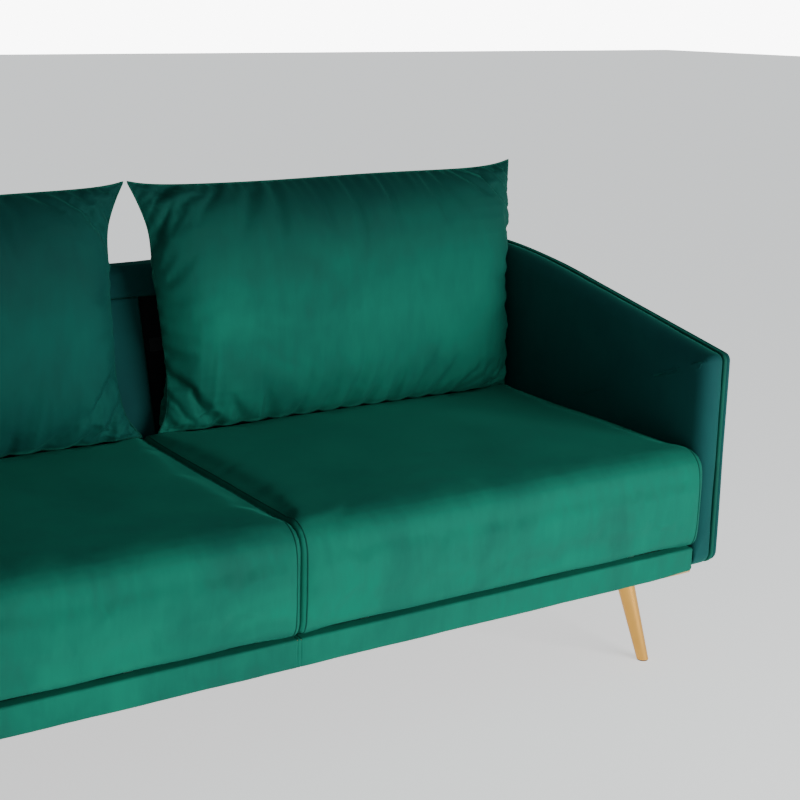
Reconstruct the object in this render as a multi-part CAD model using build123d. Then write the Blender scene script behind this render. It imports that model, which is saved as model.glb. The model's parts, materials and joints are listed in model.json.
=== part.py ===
from build123d import *
from math import cos, radians, sin, tan
import os

# A velvet sofa with two seat cushions and two loose back cushions, on a slim base with splayed legs.
# Millimetres. +X is to the right of someone facing the sofa, +Y to the back, +Z up.
# The origin is on the floor, under the middle of the sofa's width and depth.

# ---------------------------------------------------------------- driving dimensions
overall_width = 1900.0
overall_depth = 792.0  # front of the seat cushions to the rear edge of the back's top
leg_height = 165.0  # floor to the underside of the base
rail_height = 51.0  # height of the base
seat_cushion_height = 194.0
seat_front_overhang = 10.0  # the cushions stand this far in front of the rail
seat_middle_gap = 1.2  # between the two seat cushions
back_height = 720.0  # floor to the top of the back frame
back_thickness = 64.0  # square to the leaning back
back_lean = 16.0  # degrees from upright
edge_radius = 18.0  # rounded top edges of the back

arm_thickness = 62.0
arm_front_inset = 13.0  # behind the front of the seat cushions
arm_bottom_height = 172.0
arm_front_height = 590.0
arm_top_slope = 11.9  # degrees
arm_straight_top = 435.0  # level length of the arm's straight sloping top
arm_inner_lobe = 42.0  # padded inner part, up to the welt
welt_width = 10.0
welt_depth = 12.0
arm_corner_radius = 16.0
arm_bottom_radius = 25.0
arm_roll_radius = 12.0  # inner edge of the padded part
arm_outer_radius = 6.0
arm_foam_thickness = 22.0

leg_top_radius = 17.0
leg_foot_radius = 11.0
leg_wall = 1.5
leg_head = 12.0  # solid top end of each leg
leg_side_splay = 11.6  # degrees
leg_front_splay = 10.0  # degrees
leg_from_rail_end = 131.0  # centre of the leg's top to the end of the rail
leg_from_rail_face = 48.0  # centre of the leg's top to the face of the rail
glide_thickness = 2.0
glide_radius = 10.5

cushion_width_bottom = 853.0
back_cushion_height = 494.0
back_cushion_from_middle = 23.0  # lower inner corner to the middle of the sofa
back_cushion_front = 70.0  # belly in front of the edge seam
back_cushion_rear = 90.0  # belly behind the edge seam
back_cushion_lean = 6.0  # degrees
back_cushion_stand_off = 45.4  # edge seam at the seat, in front of the back
cushion_waist = 27.0  # how far the inner side edge is pulled in
cushion_sag = 15.0  # how far the top edge sags between its raised corners
cushion_inner_ear = 5.0  # top inner corner, outwards of the lower one
cushion_outer_ear = 15.0
seat_edge_radius = 45.0
seat_lower_radius = 25.0
seat_end_radius = 10.0
seat_rear_gap = 8.0

board = 22.0  # thickness of the base boards
arm_board_thickness = 17.0
arm_edge_foam = 6.0  # foam wrapped round the edge of the arm board
post_width = 80.0
end_post_width = 45.0
back_board_height = 46.0
back_flap_height = 60.0  # front of the back's top cover
back_rear_seam = 20.0  # below the top, on the rear
pad_depth = 12.0  # padded covers on the back, in front of the lining
lining = 1.0
webbing_thickness = 1.5
webbing_height = 60.0

skin = 1.5  # velvet with its backing
gap = 0.3  # between neighbouring pieces
shank_radius = 4.0  # M8
shank_clearance = 0.3
spring_wire = 3.8
spring_width = 44.0
spring_pitch = 26.0
spring_bend_radius = 9.0
springs_per_seat = 5
spring_spacing = 150.0
zip_length = 640.0
support_leg_radius = 14.0

# ---------------------------------------------------------------- derived places
front = -overall_depth / 2
rear = overall_depth / 2
rail_top = leg_height + rail_height
seat_top = rail_top + seat_cushion_height
inner_face = overall_width / 2 - arm_thickness
rail_end = inner_face - 6.0
rail_front = front + seat_front_overhang
board_front = rail_front + skin + gap
board_rear = board_front + board
flap_rear = board_rear + 2.0
wood_top = rail_top - 2 * gap - skin
wood_bottom = leg_height + skin - 0.2
lean = radians(back_lean)
frame_front_depth = pad_depth + gap + lining + gap + webbing_thickness + gap
frame_rear_depth = back_thickness - skin - gap
rear_rail_depth = frame_rear_depth - board


def back_y(z, depth=0.0):
    """Y of the back at height z, a given depth behind its front face, measured square to the lean."""
    tangent_height = back_height - edge_radius * (1 + sin(lean))
    rear_face = rear - edge_radius * (1 - cos(lean)) - (tangent_height - z) * tan(lean)
    return rear_face - (back_thickness - depth) / cos(lean)


# ---------------------------------------------------------------- helpers
parts_made = []


def save(name, *solids):
    """Write one node, which holds one piece or a group of like pieces."""
    shape = solids[0] if len(solids) == 1 else Compound(children=list(solids))
    export_step(shape, f"parts/{name}.step")
    parts_made.append(name)


def flip(shape):
    """The same piece on the other side of the sofa."""
    return mirror(shape, about=Plane.YZ)


def block(x, y, z):
    """A box from its limits along each axis."""
    size = Box(x[1] - x[0], y[1] - y[0], z[1] - z[0])
    return Pos((x[0] + x[1]) / 2, (y[0] + y[1]) / 2, (z[0] + z[1]) / 2) * size


def prism(face, x):
    """A section in Y and Z, carried along X."""
    return extrude(Plane.YZ.offset(x[0]) * face, x[1] - x[0])


def leaning_section(z, depth):
    """A section that leans with the back and has level ends."""
    corners = [
        (back_y(z[0], depth[0]), z[0]),
        (back_y(z[0], depth[1]), z[0]),
        (back_y(z[1], depth[1]), z[1]),
        (back_y(z[1], depth[0]), z[1]),
    ]
    return make_face(Polyline(*corners, close=True))


def leaning_bar(x, z, depth):
    return prism(leaning_section(z, depth), x)


def rod(start, direction, radius, length):
    """A round bar from a point, along a direction."""
    along = Plane(origin=start, z_dir=direction)
    return along * Cylinder(radius, length, align=(Align.CENTER, Align.CENTER, Align.MIN))


# ---------------------------------------------------------------- base
def front_rail_cover():
    outer = block((-rail_end, rail_end), (rail_front, flap_rear), (leg_height, rail_top - gap))
    upright = outer.edges().filter_by(Axis.Z).group_by(Axis.Y)[0]
    outer = fillet(upright, 6.0)
    side = rail_end - skin
    inner = block((-side, side), (rail_front + skin, flap_rear + 1), (leg_height + skin, wood_top + gap))
    return outer - inner


def base_front_rail():
    side = rail_end - skin - gap
    rail = block((-side, side), (board_front, board_rear), (leg_height + skin + gap, wood_top))
    return fillet(rail.edges().filter_by(Axis.Z).group_by(Axis.Y)[0], 4.2)


def bolt_places():
    """Where the arms are bolted: twice to the side rail and once to the end post of the back."""
    level = (leg_height + rail_top) / 2
    post_level = 560.0
    return [
        (front + 150.0, level, inner_face - gap - board),
        (front + 450.0, level, inner_face - gap - board),
        (back_y(post_level, (frame_front_depth + frame_rear_depth) / 2), post_level,
         inner_face - gap - end_post_width),
    ]


def bolt_holes():
    """Clearance holes for the arm bolts, through everything on the right-hand side."""
    holes = []
    for y, z, start in bolt_places():
        holes.append(rod((start - 1, y, z), (1, 0, 0), shank_radius + shank_clearance, 200.0))
    return holes


def base_side_rail():
    outside = inner_face - gap
    inside = outside - board
    points = [
        (flap_rear + gap, wood_bottom),
        (back_y(wood_bottom, rear_rail_depth) - gap, wood_bottom),
        (back_y(wood_top, rear_rail_depth) - gap, wood_top),
        (flap_rear + gap, wood_top),
    ]
    rail = prism(make_face(Polyline(*points, close=True)), (inside, outside))
    return rail - bolt_holes()


def frame_bolts():
    """Bolts that hold the back frame down on the rear rail, leaning with it."""
    middle = (rear_rail_depth + frame_rear_depth) / 2
    start_z = wood_bottom + 1.5
    direction = (0, sin(lean), cos(lean))
    bolts = []
    holes = []
    for x in (-640.0, -240.0, 240.0, 640.0):
        start = (x, back_y(start_z, middle), start_z)
        head_end = (x, start[1] + 5 * sin(lean), start_z + 5 * cos(lean))
        shank = rod(head_end, direction, shank_radius, 78.0)
        bolts.append(rod(start, direction, 6.5, 5.0) + shank)
        below = (x, start[1] - 6 * sin(lean), start_z - 6 * cos(lean))
        pocket = rod(below, direction, 7.0, 11.2)
        holes.append(pocket + rod(below, direction, shank_radius + shank_clearance, 92.0))
    return bolts, holes


def base_rear_rail(holes):
    side = inner_face - gap
    rail = leaning_bar((-side, side), (wood_bottom, rail_top), (rear_rail_depth, frame_rear_depth))
    return rail - holes


centre_rail_half = 15.0


def base_centre_rail():
    points = [
        (board_rear + gap, leg_height + 1.3),
        (back_y(leg_height + 1.3, rear_rail_depth) - gap, leg_height + 1.3),
        (back_y(wood_top, rear_rail_depth) - gap, wood_top),
        (board_rear + gap, wood_top),
    ]
    rail = prism(make_face(Polyline(*points, close=True)), (-centre_rail_half, centre_rail_half))
    relief = block((-centre_rail_half - 1, centre_rail_half + 1), (board_rear, flap_rear + gap),
                   (leg_height, leg_height + skin + gap))
    top_relief = block((-centre_rail_half - 1, centre_rail_half + 1), (board_rear, flap_rear + gap),
                       (wood_top, rail_top))
    return rail - relief - top_relief


def leg_tops():
    """Centre of each leg's top, with the way it splays: right then left, front then rear."""
    x = rail_end - leg_from_rail_end
    front_y = rail_front + leg_from_rail_face
    rear_y = back_y(leg_height, back_thickness) - leg_from_rail_face
    return {
        "front_right": (x, front_y, 1, -1),
        "front_left": (-x, front_y, -1, -1),
        "rear_right": (x, rear_y, 1, 1),
        "rear_left": (-x, rear_y, -1, 1),
    }


plate_size = (70.0, 43.0)
plate_thickness = 3.0
plate_holes = (27.0, 15.5)
block_size = (100.0, 62.0)
block_bottom = leg_height + plate_thickness + gap
block_top = 200.0
stud_length = 24.0


def leg_axis(side, fore):
    """From foot to top."""
    return Vector(-side * tan(radians(leg_side_splay)), -fore * tan(radians(leg_front_splay)), 1).normalized()


def leg_foot(place):
    x, y, side, fore = place
    axis = leg_axis(side, fore)
    drop = leg_height / axis.Z
    return Vector(x, y, leg_height) - axis * drop


def leg(place):
    """A tapered tube with a solid head and a stud, cut level at both ends."""
    x, y, side, fore = place
    axis = leg_axis(side, fore)
    foot = leg_foot(place)
    length = leg_height / axis.Z
    extra = 12.0
    taper = (leg_top_radius - leg_foot_radius) / length
    start = foot - axis * extra
    stance = Plane(origin=start, z_dir=axis)
    seat = (Align.CENTER, Align.CENTER, Align.MIN)
    low = leg_foot_radius - taper * extra
    high = leg_top_radius + taper * extra
    outside = stance * Cone(low, high, length + 2 * extra, align=seat)
    hollow_length = length + extra - leg_head
    hollow_high = low + taper * hollow_length - leg_wall
    hollow = stance * Cone(low - leg_wall, hollow_high, hollow_length, align=seat)
    reach = 100.0
    slab = block((x - reach, x + reach), (y - reach, y + reach), (glide_thickness, leg_height))
    stud_start = Vector(x, y, leg_height) - axis * 1.0
    stud = rod(stud_start, axis, shank_radius, stud_length)
    return (outside - hollow) & slab, stud


def make_leg(place):
    tube, stud = leg(place)
    return tube + stud


def leg_glide(place):
    """A plastic pad with a plug that fits inside the foot of the leg."""
    x, y, side, fore = place
    axis = leg_axis(side, fore)
    foot = leg_foot(place)
    at_pad = foot + axis * (glide_thickness / axis.Z)
    pad = Pos(at_pad.X, at_pad.Y, 0) * Cylinder(glide_radius, glide_thickness,
                                                 align=(Align.CENTER, Align.CENTER, Align.MIN))
    plug = rod(at_pad - axis * 1.9, axis, leg_foot_radius - leg_wall - 0.5, 12.0)
    floor = block((foot.X - 40, foot.X + 40), (foot.Y - 40, foot.Y + 40), (0, 40))
    return pad + (plug & floor)


def stud_hole(place):
    x, y, side, fore = place
    axis = leg_axis(side, fore)
    return rod(Vector(x, y, leg_height) - axis * 2, axis, shank_radius + 0.4, stud_length + 8)


def screw_places(place):
    x, y = place[0], place[1]
    return [(x + i * plate_holes[0], y + j * plate_holes[1]) for i in (-1, 1) for j in (-1, 1)]


def drill(x, y, z, radius, length):
    return rod((x, y, z), (0, 0, 1), radius, length)


def leg_plate(place):
    x, y = place[0], place[1]
    half_x, half_y = plate_size[0] / 2, plate_size[1] / 2
    plate = block((x - half_x, x + half_x), (y - half_y, y + half_y),
                  (leg_height, leg_height + plate_thickness))
    holes = [stud_hole(place)]
    for sx, sy in screw_places(place):
        holes.append(drill(sx, sy, leg_height - 1, 2.3, plate_thickness + 2))
        holes.append(drill(sx, sy, leg_height - 1, 4.3, 2.8))
    return plate - holes


def leg_screws(place):
    screws = []
    for sx, sy in screw_places(place):
        screws.append(drill(sx, sy, leg_height + 0.2, 4.0, 1.5) + drill(sx, sy, leg_height + 1.5, 2.0, 18.0))
    return screws


def corner_block(place):
    x, y = place[0], place[1]
    fore = place[3]
    half_x = block_size[0] / 2
    if fore < 0:
        near = board_rear + gap
        limits = (near, near + block_size[1])
    else:
        near = back_y(block_bottom, rear_rail_depth) - gap
        limits = (near - block_size[1], near)
    wood = block((x - half_x, x + half_x), limits, (block_bottom, block_top))
    if fore < 0:
        clear = block((x - half_x - 1, x + half_x + 1), (board_rear, flap_rear + gap),
                      (leg_height, leg_height + skin + gap))
        wood = wood - clear
    holes = [stud_hole(place)]
    for sx, sy in screw_places(place):
        holes.append(drill(sx, sy, block_bottom - 1, 2.05, 20.0))
    return wood - holes


support_y = front + 405.0


def centre_support_leg():
    tube = drill(0, support_y, glide_thickness, support_leg_radius, leg_height - gap - glide_thickness)
    bore = drill(0, support_y, glide_thickness, support_leg_radius - 2, 120.0)
    flange = drill(0, support_y, leg_height - gap - 3, 28.0, 3.0)
    return tube + flange - bore


def support_glide():
    pad = drill(0, support_y, 0, support_leg_radius + 1, glide_thickness)
    return pad + drill(0, support_y, glide_thickness, support_leg_radius - 2.3, 10.0)


def dust_cover():
    side = inner_face - 8.0
    points = [
        (flap_rear + gap, leg_height),
        (back_y(leg_height, frame_rear_depth) - gap, leg_height),
        (back_y(leg_height, frame_rear_depth) - gap, leg_height + lining),
        (flap_rear + gap, leg_height + lining),
    ]
    sheet = prism(make_face(Polyline(*points, close=True)), (-side, side))
    cuts = []
    for place in leg_tops().values():
        x, y = place[0], place[1]
        half_x, half_y = plate_size[0] / 2 + 0.5, plate_size[1] / 2 + 0.5
        cuts.append(block((x - half_x, x + half_x), (y - half_y, y + half_y), (leg_height - 1, leg_height + 3)))
    return sheet - cuts


spring_z = wood_top - spring_wire / 2
clip_depth = 8.0
clip_height = 8.5


def spring_run():
    """First and last cross bar of every spring, along Y."""
    first = board_rear + gap + clip_depth / 2 + 1
    last = back_y(spring_z - clip_height / 2, rear_rail_depth) - gap - clip_depth / 2 - 1
    return first, last


def spring_centres():
    middle = inner_face / 2
    offset = (springs_per_seat - 1) / 2
    one_side = [middle + (i - offset) * spring_spacing for i in range(springs_per_seat)]
    return [-x for x in one_side] + one_side


def sinuous_spring():
    """A zigzag of straight cross bars joined by rounded bends."""
    first, last = spring_run()
    waves = round((last - first) / spring_pitch)
    step = (last - first) / waves
    half = spring_width / 2
    points = []
    for i in range(waves + 1):
        ends = (-half, half) if i % 2 == 0 else (half, -half)
        y = first + i * step
        points.append((ends[0], y, spring_z))
        points.append((ends[1], y, spring_z))
    path = FilletPolyline(*points, radius=spring_bend_radius)
    section = Plane(origin=path @ 0, z_dir=path % 0) * Circle(spring_wire / 2)
    return sweep(section, path)


def spring_clip(x, y):
    """A small block round the end bar of a spring."""
    low = spring_z - clip_height / 2
    high = min(spring_z + clip_height / 2, wood_top)
    body = block((x - 8, x + 8), (y - clip_depth / 2 - 1, y + clip_depth / 2 + 1), (low, high + 0.1))
    bore = rod((x - 30, y, spring_z), (1, 0, 0), spring_wire / 2 + 0.2, 60.0)
    slot = block((x - 9, x + 9), (y - spring_wire / 2 - 0.2, y + spring_wire / 2 + 0.2), (spring_z, high + 1))
    return body - bore - slot


def seat_deck_cloth():
    side = inner_face - gap
    z = (wood_top + gap, wood_top + gap + 1.2)
    return block((-side, side), (flap_rear + gap, back_y(z[0], rear_rail_depth) - gap), z)


# ---------------------------------------------------------------- arms
def arm_profile():
    """Side view of an arm: upright front, sloping top that levels off, and a rear that leans with the back."""
    slope = radians(arm_top_slope)
    arm_front = front + arm_front_inset
    start = (arm_front, arm_front_height)
    bend = (arm_front + arm_straight_top, arm_front_height + arm_straight_top * tan(slope))
    crest = (back_y(back_height, back_thickness), back_height)
    foot = (back_y(arm_bottom_height, back_thickness), arm_bottom_height)
    toe = (arm_front, arm_bottom_height)
    lines = [
        Line(toe, start),
        Line(start, bend),
        TangentArc(bend, crest, tangent=(cos(slope), sin(slope))),
        Line(crest, foot),
        Line(foot, toe),
    ]
    face = make_face(Wire(lines))
    rounds = ((toe, arm_bottom_radius), (foot, arm_bottom_radius), (start, arm_corner_radius),
              (crest, edge_radius))
    for point, radius in rounds:
        nearest = face.vertices().sort_by_distance((point[0], point[1], 0))[0]
        face = fillet(nearest, radius)
    return face


def rounded_slab(face, x, radius, outside):
    """A slab whose edge is rounded on its inner or its outer face."""
    slab = prism(face, x)
    end = slab.faces().sort_by(Axis.X)[-1 if outside else 0]
    return fillet(end.edges(), radius)


welt_x = inner_face + arm_inner_lobe
outer_x = welt_x + welt_width
arm_outside = overall_width / 2


def arm_inner_cover(profile):
    outer = rounded_slab(profile, (inner_face, welt_x - gap), arm_roll_radius, False)
    cavity = offset(profile, -skin)
    inner = rounded_slab(cavity, (inner_face + skin, welt_x + 1), arm_roll_radius - skin, False)
    return outer - inner - bolt_holes()


def board_limits():
    """X of the arm board's two faces."""
    inside = inner_face + skin + 2 * gap + arm_foam_thickness
    return inside, inside + arm_board_thickness


def arm_foam(profile):
    """Foam on the inner face of the board, wrapped round the board's edge."""
    inside, outside = board_limits()
    face = offset(profile, -skin - gap)
    pad = rounded_slab(face, (inner_face + skin + gap, outside), arm_roll_radius - skin - gap, False)
    recess = prism(offset(profile, -skin - gap - arm_edge_foam), (inside - gap, outside + 1))
    return pad - recess - bolt_holes()


def arm_board(profile):
    inside, outside = board_limits()
    panel = prism(offset(profile, -skin - 2 * gap - arm_edge_foam), (inside, outside))
    pockets = [rod((outside - 12, y, z), (1, 0, 0), 8.3, 20.0) for y, z, _ in bolt_places()]
    return panel - bolt_holes() - pockets


def arm_bolts():
    """Head inside the frame, thread in the nut on the far side of the arm board."""
    outside = board_limits()[1]
    bolts = []
    for y, z, start in bolt_places():
        head = rod((start - 5, y, z), (1, 0, 0), 6.5, 5.0)
        bolts.append(head + rod((start, y, z), (1, 0, 0), shank_radius, outside - 2 - start))
    return bolts


def arm_nuts():
    outside = board_limits()[1]
    nuts = []
    for y, z, _ in bolt_places():
        nut = rod((outside - 11.7, y, z), (1, 0, 0), 8.0, 10.7)
        nuts.append(nut - rod((outside - 13, y, z), (1, 0, 0), shank_radius + 0.05, 20.0))
    return nuts


def arm_welt(profile):
    ring = prism(profile, (welt_x, outer_x - gap))
    return ring - prism(offset(profile, -welt_depth), (welt_x - 1, outer_x))


def arm_outer_pad(profile):
    inside = board_limits()[1] + gap
    core = prism(offset(profile, -welt_depth - gap), (inside, outer_x))
    face = prism(offset(profile, -skin - gap - 3), (outer_x, arm_outside - skin - gap))
    return core + face


def arm_outer_cover(profile):
    outer = rounded_slab(profile, (outer_x, arm_outside), arm_outer_radius, True)
    inner = rounded_slab(offset(profile, -skin), (outer_x - 1, arm_outside - skin), arm_outer_radius - skin, True)
    return outer - inner


# ---------------------------------------------------------------- back
def top_section():
    """Section of the back's top, with both upper edges rounded."""
    face = leaning_section((back_height - back_flap_height, back_height), (0, back_thickness))
    upper = face.vertices().sort_by(Axis.Y)[-2:]
    return fillet(upper, edge_radius)


back_side = inner_face - gap
board_bottom = back_height - back_board_height - skin - gap


def back_top_cover():
    outer = top_section()
    inner = offset(outer, -skin) + leaning_section(
        (back_height - back_flap_height - 1, back_height - back_flap_height + 5), (skin, back_thickness - skin))
    shell = prism(outer - inner, (-back_side, back_side))
    below_seam = leaning_bar((-back_side - 1, back_side + 1),
                             (back_height - back_flap_height - 1, back_height - back_rear_seam),
                             (frame_front_depth, back_thickness + 1))
    return shell - below_seam


def top_filling(depth, low):
    """What lies inside the top cover between two depths, above a height."""
    inside = offset(top_section(), -skin - gap)
    slab = leaning_section((low, back_height), depth)
    return prism(inside & slab, (-back_side, back_side))


def back_top_rail():
    return top_filling((frame_front_depth, frame_rear_depth), board_bottom)


def back_posts():
    z = (rail_top + gap + back_board_height + gap, board_bottom - gap)
    depth = (frame_front_depth, frame_rear_depth)
    middle = leaning_bar((-post_width / 2, post_width / 2), z, depth)
    end = leaning_bar((back_side - end_post_width, back_side), z, depth) - bolt_holes()
    return [flip(end), middle, end]


def back_bottom_rail(holes):
    z = (rail_top + gap, rail_top + gap + back_board_height)
    return leaning_bar((-back_side, back_side), z, (frame_front_depth, frame_rear_depth)) - holes


def post_cover_limits():
    """Sides of the three padded posts, along X."""
    proud = 3.0
    half = post_width / 2 + proud
    end = (back_side - end_post_width - proud, back_side)
    return [(-end[1], -end[0]), (-half, half), end]


cover_z = (rail_top + gap, back_height - back_flap_height - gap)


def post_cover(x):
    """Velvet over the front and sides of a padded post."""
    outer = leaning_bar(x, cover_z, (0, pad_depth))
    inner = leaning_bar((x[0] + skin, x[1] - skin), (cover_z[0] - 1, cover_z[1] + 1), (skin, pad_depth + 1))
    return outer - inner


def back_pads():
    """Foam under the velvet of the top rail and of each post."""
    pads = [top_filling((skin + gap, pad_depth), back_height - back_flap_height + skin + gap)]
    for x in post_cover_limits():
        sides = (x[0] + skin + gap, x[1] - skin - gap)
        pads.append(leaning_bar(sides, cover_z, (skin + gap, pad_depth)))
    return pads


def lining_panel():
    depth = (pad_depth + gap, pad_depth + gap + lining)
    return leaning_bar((gap, back_side), (rail_top + gap, board_bottom + 20), depth)


def webbing_straps():
    depth = pad_depth + 2 * gap + lining
    straps = []
    for z in (330.0, 450.0, 570.0):
        level = (z - webbing_height / 2, z + webbing_height / 2)
        straps.append(leaning_bar((-back_side + 10, back_side - 10), level, (depth, depth + webbing_thickness)))
    return straps


tape_size = (120.0, 25.0, 2.0)
tape_level = 565.0


def grip_tapes():
    """Strips on the lining that keep the back cushions from sliding."""
    depth = (pad_depth + gap - tape_size[2], pad_depth + gap)
    level = (tape_level - tape_size[1] / 2, tape_level + tape_size[1] / 2)
    near = post_width / 2 + 18.0
    far = back_side - end_post_width - 18.0
    inner = leaning_bar((near, near + tape_size[0]), level, depth)
    outer = leaning_bar((far - tape_size[0], far), level, depth)
    return [flip(outer), flip(inner), inner, outer]


def back_outer_cover():
    z = (leg_height, back_height - back_rear_seam - gap)
    return leaning_bar((-back_side, back_side), z, (back_thickness - skin, back_thickness))


# ---------------------------------------------------------------- zips
tape_width = 26.0
tape_thickness = 1.0
ridge_width = 5.0
ridge_height = 1.8
slider_length = 14.0
slider_width = 10.0
slider_height = 3.4
slider_wall_gap = 0.3


def zip_tape(plane):
    """A tape with its row of closed teeth, lying on a face."""
    tape = Pos(0, 0, tape_thickness / 2) * Box(zip_length, tape_width, tape_thickness)
    ridge = Pos(0, 0, tape_thickness + ridge_height / 2) * Box(zip_length, ridge_width, ridge_height)
    return plane * (tape + ridge)


def zip_slider(plane):
    """The slider at one end of the zip, over the teeth, with its pull."""
    start = -zip_length / 2 + slider_length / 2
    low = tape_thickness + slider_wall_gap
    body = Pos(start, 0, low + slider_height / 2) * Box(slider_length, slider_width, slider_height)
    channel_height = ridge_height
    channel = Pos(start, 0, low + channel_height / 2 - 0.01) * Box(
        slider_length + 2, ridge_width + 2 * slider_wall_gap, channel_height + 0.02)
    pull = Pos(start + 16, 0, low + slider_height - 0.7) * Box(26, 6, 1.4)
    return plane * (body - channel + pull)


# ---------------------------------------------------------------- seat cushions
cushion_skin = 1.2


def seat_block(inset):
    """The right-hand seat cushion, or its inside at a given depth under the velvet."""
    bottom = rail_top + inset
    top = seat_top - inset
    depth = -seat_rear_gap - inset
    corners = [
        (front + inset, bottom),
        (front + inset, top),
        (back_y(top, depth), top),
        (back_y(bottom, depth), bottom),
    ]
    face = make_face(Polyline(*corners, close=True))
    for point, radius in ((corners[1], seat_edge_radius), (corners[0], seat_lower_radius),
                          (corners[2], 20.0), (corners[3], 20.0)):
        nearest = face.vertices().sort_by_distance((point[0], point[1], 0))[0]
        face = fillet(nearest, radius - inset)
    x = (seat_middle_gap / 2 + inset, inner_face - gap - inset)
    solid = prism(face, x)
    ends = solid.faces().sort_by(Axis.X)
    edges = ends[0].edges() + ends[-1].edges()
    return fillet(edges, seat_end_radius - inset)


def seat_zip_plane():
    """On the leaning rear face of the right-hand seat cushion."""
    level = (rail_top + seat_top) / 2
    centre = (inner_face / 2, back_y(level, -seat_rear_gap), level)
    return Plane(origin=centre, x_dir=(1, 0, 0), z_dir=(0, cos(lean), -sin(lean)))


# ---------------------------------------------------------------- back cushions
rest_gap = 0.5
belly_inset = 125.0
shoulder_inset = 42.0
shoulder_share = 0.6  # of the belly's depth, at the shoulder
edge_half = 1.5
arm_clear = inner_face - 4.0


def cushion_plane():
    """In the plane of the edge seam: x along the seam, y up the lean, z to the front."""
    tilt = radians(back_cushion_lean)
    origin = (0, back_y(seat_top) - back_cushion_stand_off, seat_top + rest_gap)
    return Plane(origin=origin, x_dir=(1, 0, 0), z_dir=(0, -cos(tilt), sin(tilt)))


def cushion_outline(inset):
    """Outline of the right-hand cushion in the plane of its edge seam."""
    left = back_cushion_from_middle
    right = left + cushion_width_bottom
    top = back_cushion_height
    return [
        (left + inset, inset),
        (right - inset, inset),
        (arm_clear - inset, back_height - seat_top),
        (right + cushion_outer_ear - inset, top - inset),
        ((left + right) / 2, top - cushion_sag - inset),
        (left - cushion_inner_ear + inset, top - inset),
        (left + cushion_waist + inset, top / 2),
    ]


def behind_face(clearance):
    """The room behind the back's face, which a cushion that leans on it can't enter."""
    z = (rail_top, seat_top + 1.5 * back_cushion_height)
    depth = (-clearance, back_thickness + back_cushion_rear)
    return leaning_bar((0, overall_width), z, depth)


def pillow(inset):
    """A knife-edge cushion pressed flat on the back, or its inside at a given depth under the velvet."""
    edge = edge_half if inset == 0 else edge_half / 3
    rim = 2 * inset
    sections = [
        (-(back_cushion_rear - inset), belly_inset + inset),
        (-(back_cushion_rear * shoulder_share - inset), shoulder_inset + inset),
        (-edge, rim),
        (edge, rim),
        (back_cushion_front * shoulder_share - inset, shoulder_inset + inset),
        (back_cushion_front - inset, belly_inset + inset),
    ]
    plane = cushion_plane()
    faces = []
    for height, step in sections:
        face = make_face(Polyline(*cushion_outline(step), close=True))
        faces.append(plane.offset(height) * face)
    return loft(faces, ruled=True) - behind_face(rest_gap + inset)


def pillow_zip_plane():
    """On the lower rear slope of the right-hand back cushion."""
    plane = cushion_plane()
    rise = shoulder_inset
    back = back_cushion_rear * shoulder_share - edge_half
    middle = plane.from_local_coords(Vector(inner_face / 2, rise / 2, -edge_half - back / 2))
    up = plane.y_dir * rise - plane.z_dir * back
    outward = Vector(1, 0, 0).cross(up.normalized())
    if outward.Z > 0:
        outward = outward * -1
    return Plane(origin=middle, x_dir=(1, 0, 0), z_dir=outward)


# ---------------------------------------------------------------- build and save
def build_base():
    bolts, holes = frame_bolts()
    save("base_front_rail", base_front_rail())
    save("base_rear_rail", base_rear_rail(holes))
    side = base_side_rail()
    save("base_side_rail_right", side)
    save("base_side_rail_left", flip(side))
    save("base_centre_rail", base_centre_rail())
    save("front_rail_cover", front_rail_cover())
    save("seat_deck_cloth", seat_deck_cloth())
    save("dust_cover", dust_cover())
    save("back_bolts", *bolts)
    save("back_bottom_rail", back_bottom_rail(holes))
    spring = sinuous_spring()
    save("seat_springs", *[Pos(x, 0, 0) * spring for x in spring_centres()])
    save("spring_clips", *[spring_clip(x, y) for x in spring_centres() for y in spring_run()])


def build_legs():
    places = leg_tops()
    for name, place in places.items():
        save(f"leg_{name}", make_leg(place))
    save("leg_plates", *[leg_plate(p) for p in places.values()])
    save("leg_plate_screws", *[s for p in places.values() for s in leg_screws(p)])
    save("base_corner_blocks", *[corner_block(p) for p in places.values()])
    save("leg_glides", *[leg_glide(p) for p in places.values()], support_glide())
    save("centre_support_leg", centre_support_leg())


def build_arms():
    profile = arm_profile()
    pieces = {
        "arm_board": arm_board(profile),
        "arm_foam": arm_foam(profile),
        "arm_inner_cover": arm_inner_cover(profile),
        "arm_welt": arm_welt(profile),
        "arm_outer_pad": arm_outer_pad(profile),
        "arm_outer_cover": arm_outer_cover(profile),
    }
    for name, piece in pieces.items():
        save(f"{name}_right", piece)
        save(f"{name}_left", flip(piece))
    bolts = arm_bolts()
    nuts = arm_nuts()
    save("arm_bolts", *bolts, *[flip(b) for b in bolts])
    save("arm_nuts", *nuts, *[flip(n) for n in nuts])


def build_back():
    save("back_top_rail", back_top_rail())
    save("back_posts", *back_posts())
    save("back_pads", *back_pads())
    save("back_top_cover", back_top_cover())
    save("back_post_covers", *[post_cover(x) for x in post_cover_limits()])
    panel = lining_panel()
    save("back_lining", flip(panel), panel)
    save("back_webbing", *webbing_straps())
    save("back_grip_tape", *grip_tapes())
    save("back_outer_cover", back_outer_cover())


def build_cushion(name, outer, cavity, filling, filling_name, plane):
    pieces = {
        f"{name}_cover": outer - cavity,
        f"{name}_{filling_name}": filling,
        f"{name}_zip": zip_tape(plane),
        f"{name}_zip_slider": zip_slider(plane),
    }
    for node, piece in pieces.items():
        save(f"{node}_right", piece)
        save(f"{node}_left", flip(piece))


def build_cushions():
    depth = cushion_skin
    build_cushion("seat_cushion", seat_block(0), seat_block(depth), seat_block(depth + gap), "foam",
                  seat_zip_plane())
    build_cushion("back_cushion", pillow(0), pillow(depth), pillow(depth + gap), "filling",
                  pillow_zip_plane())


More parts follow.
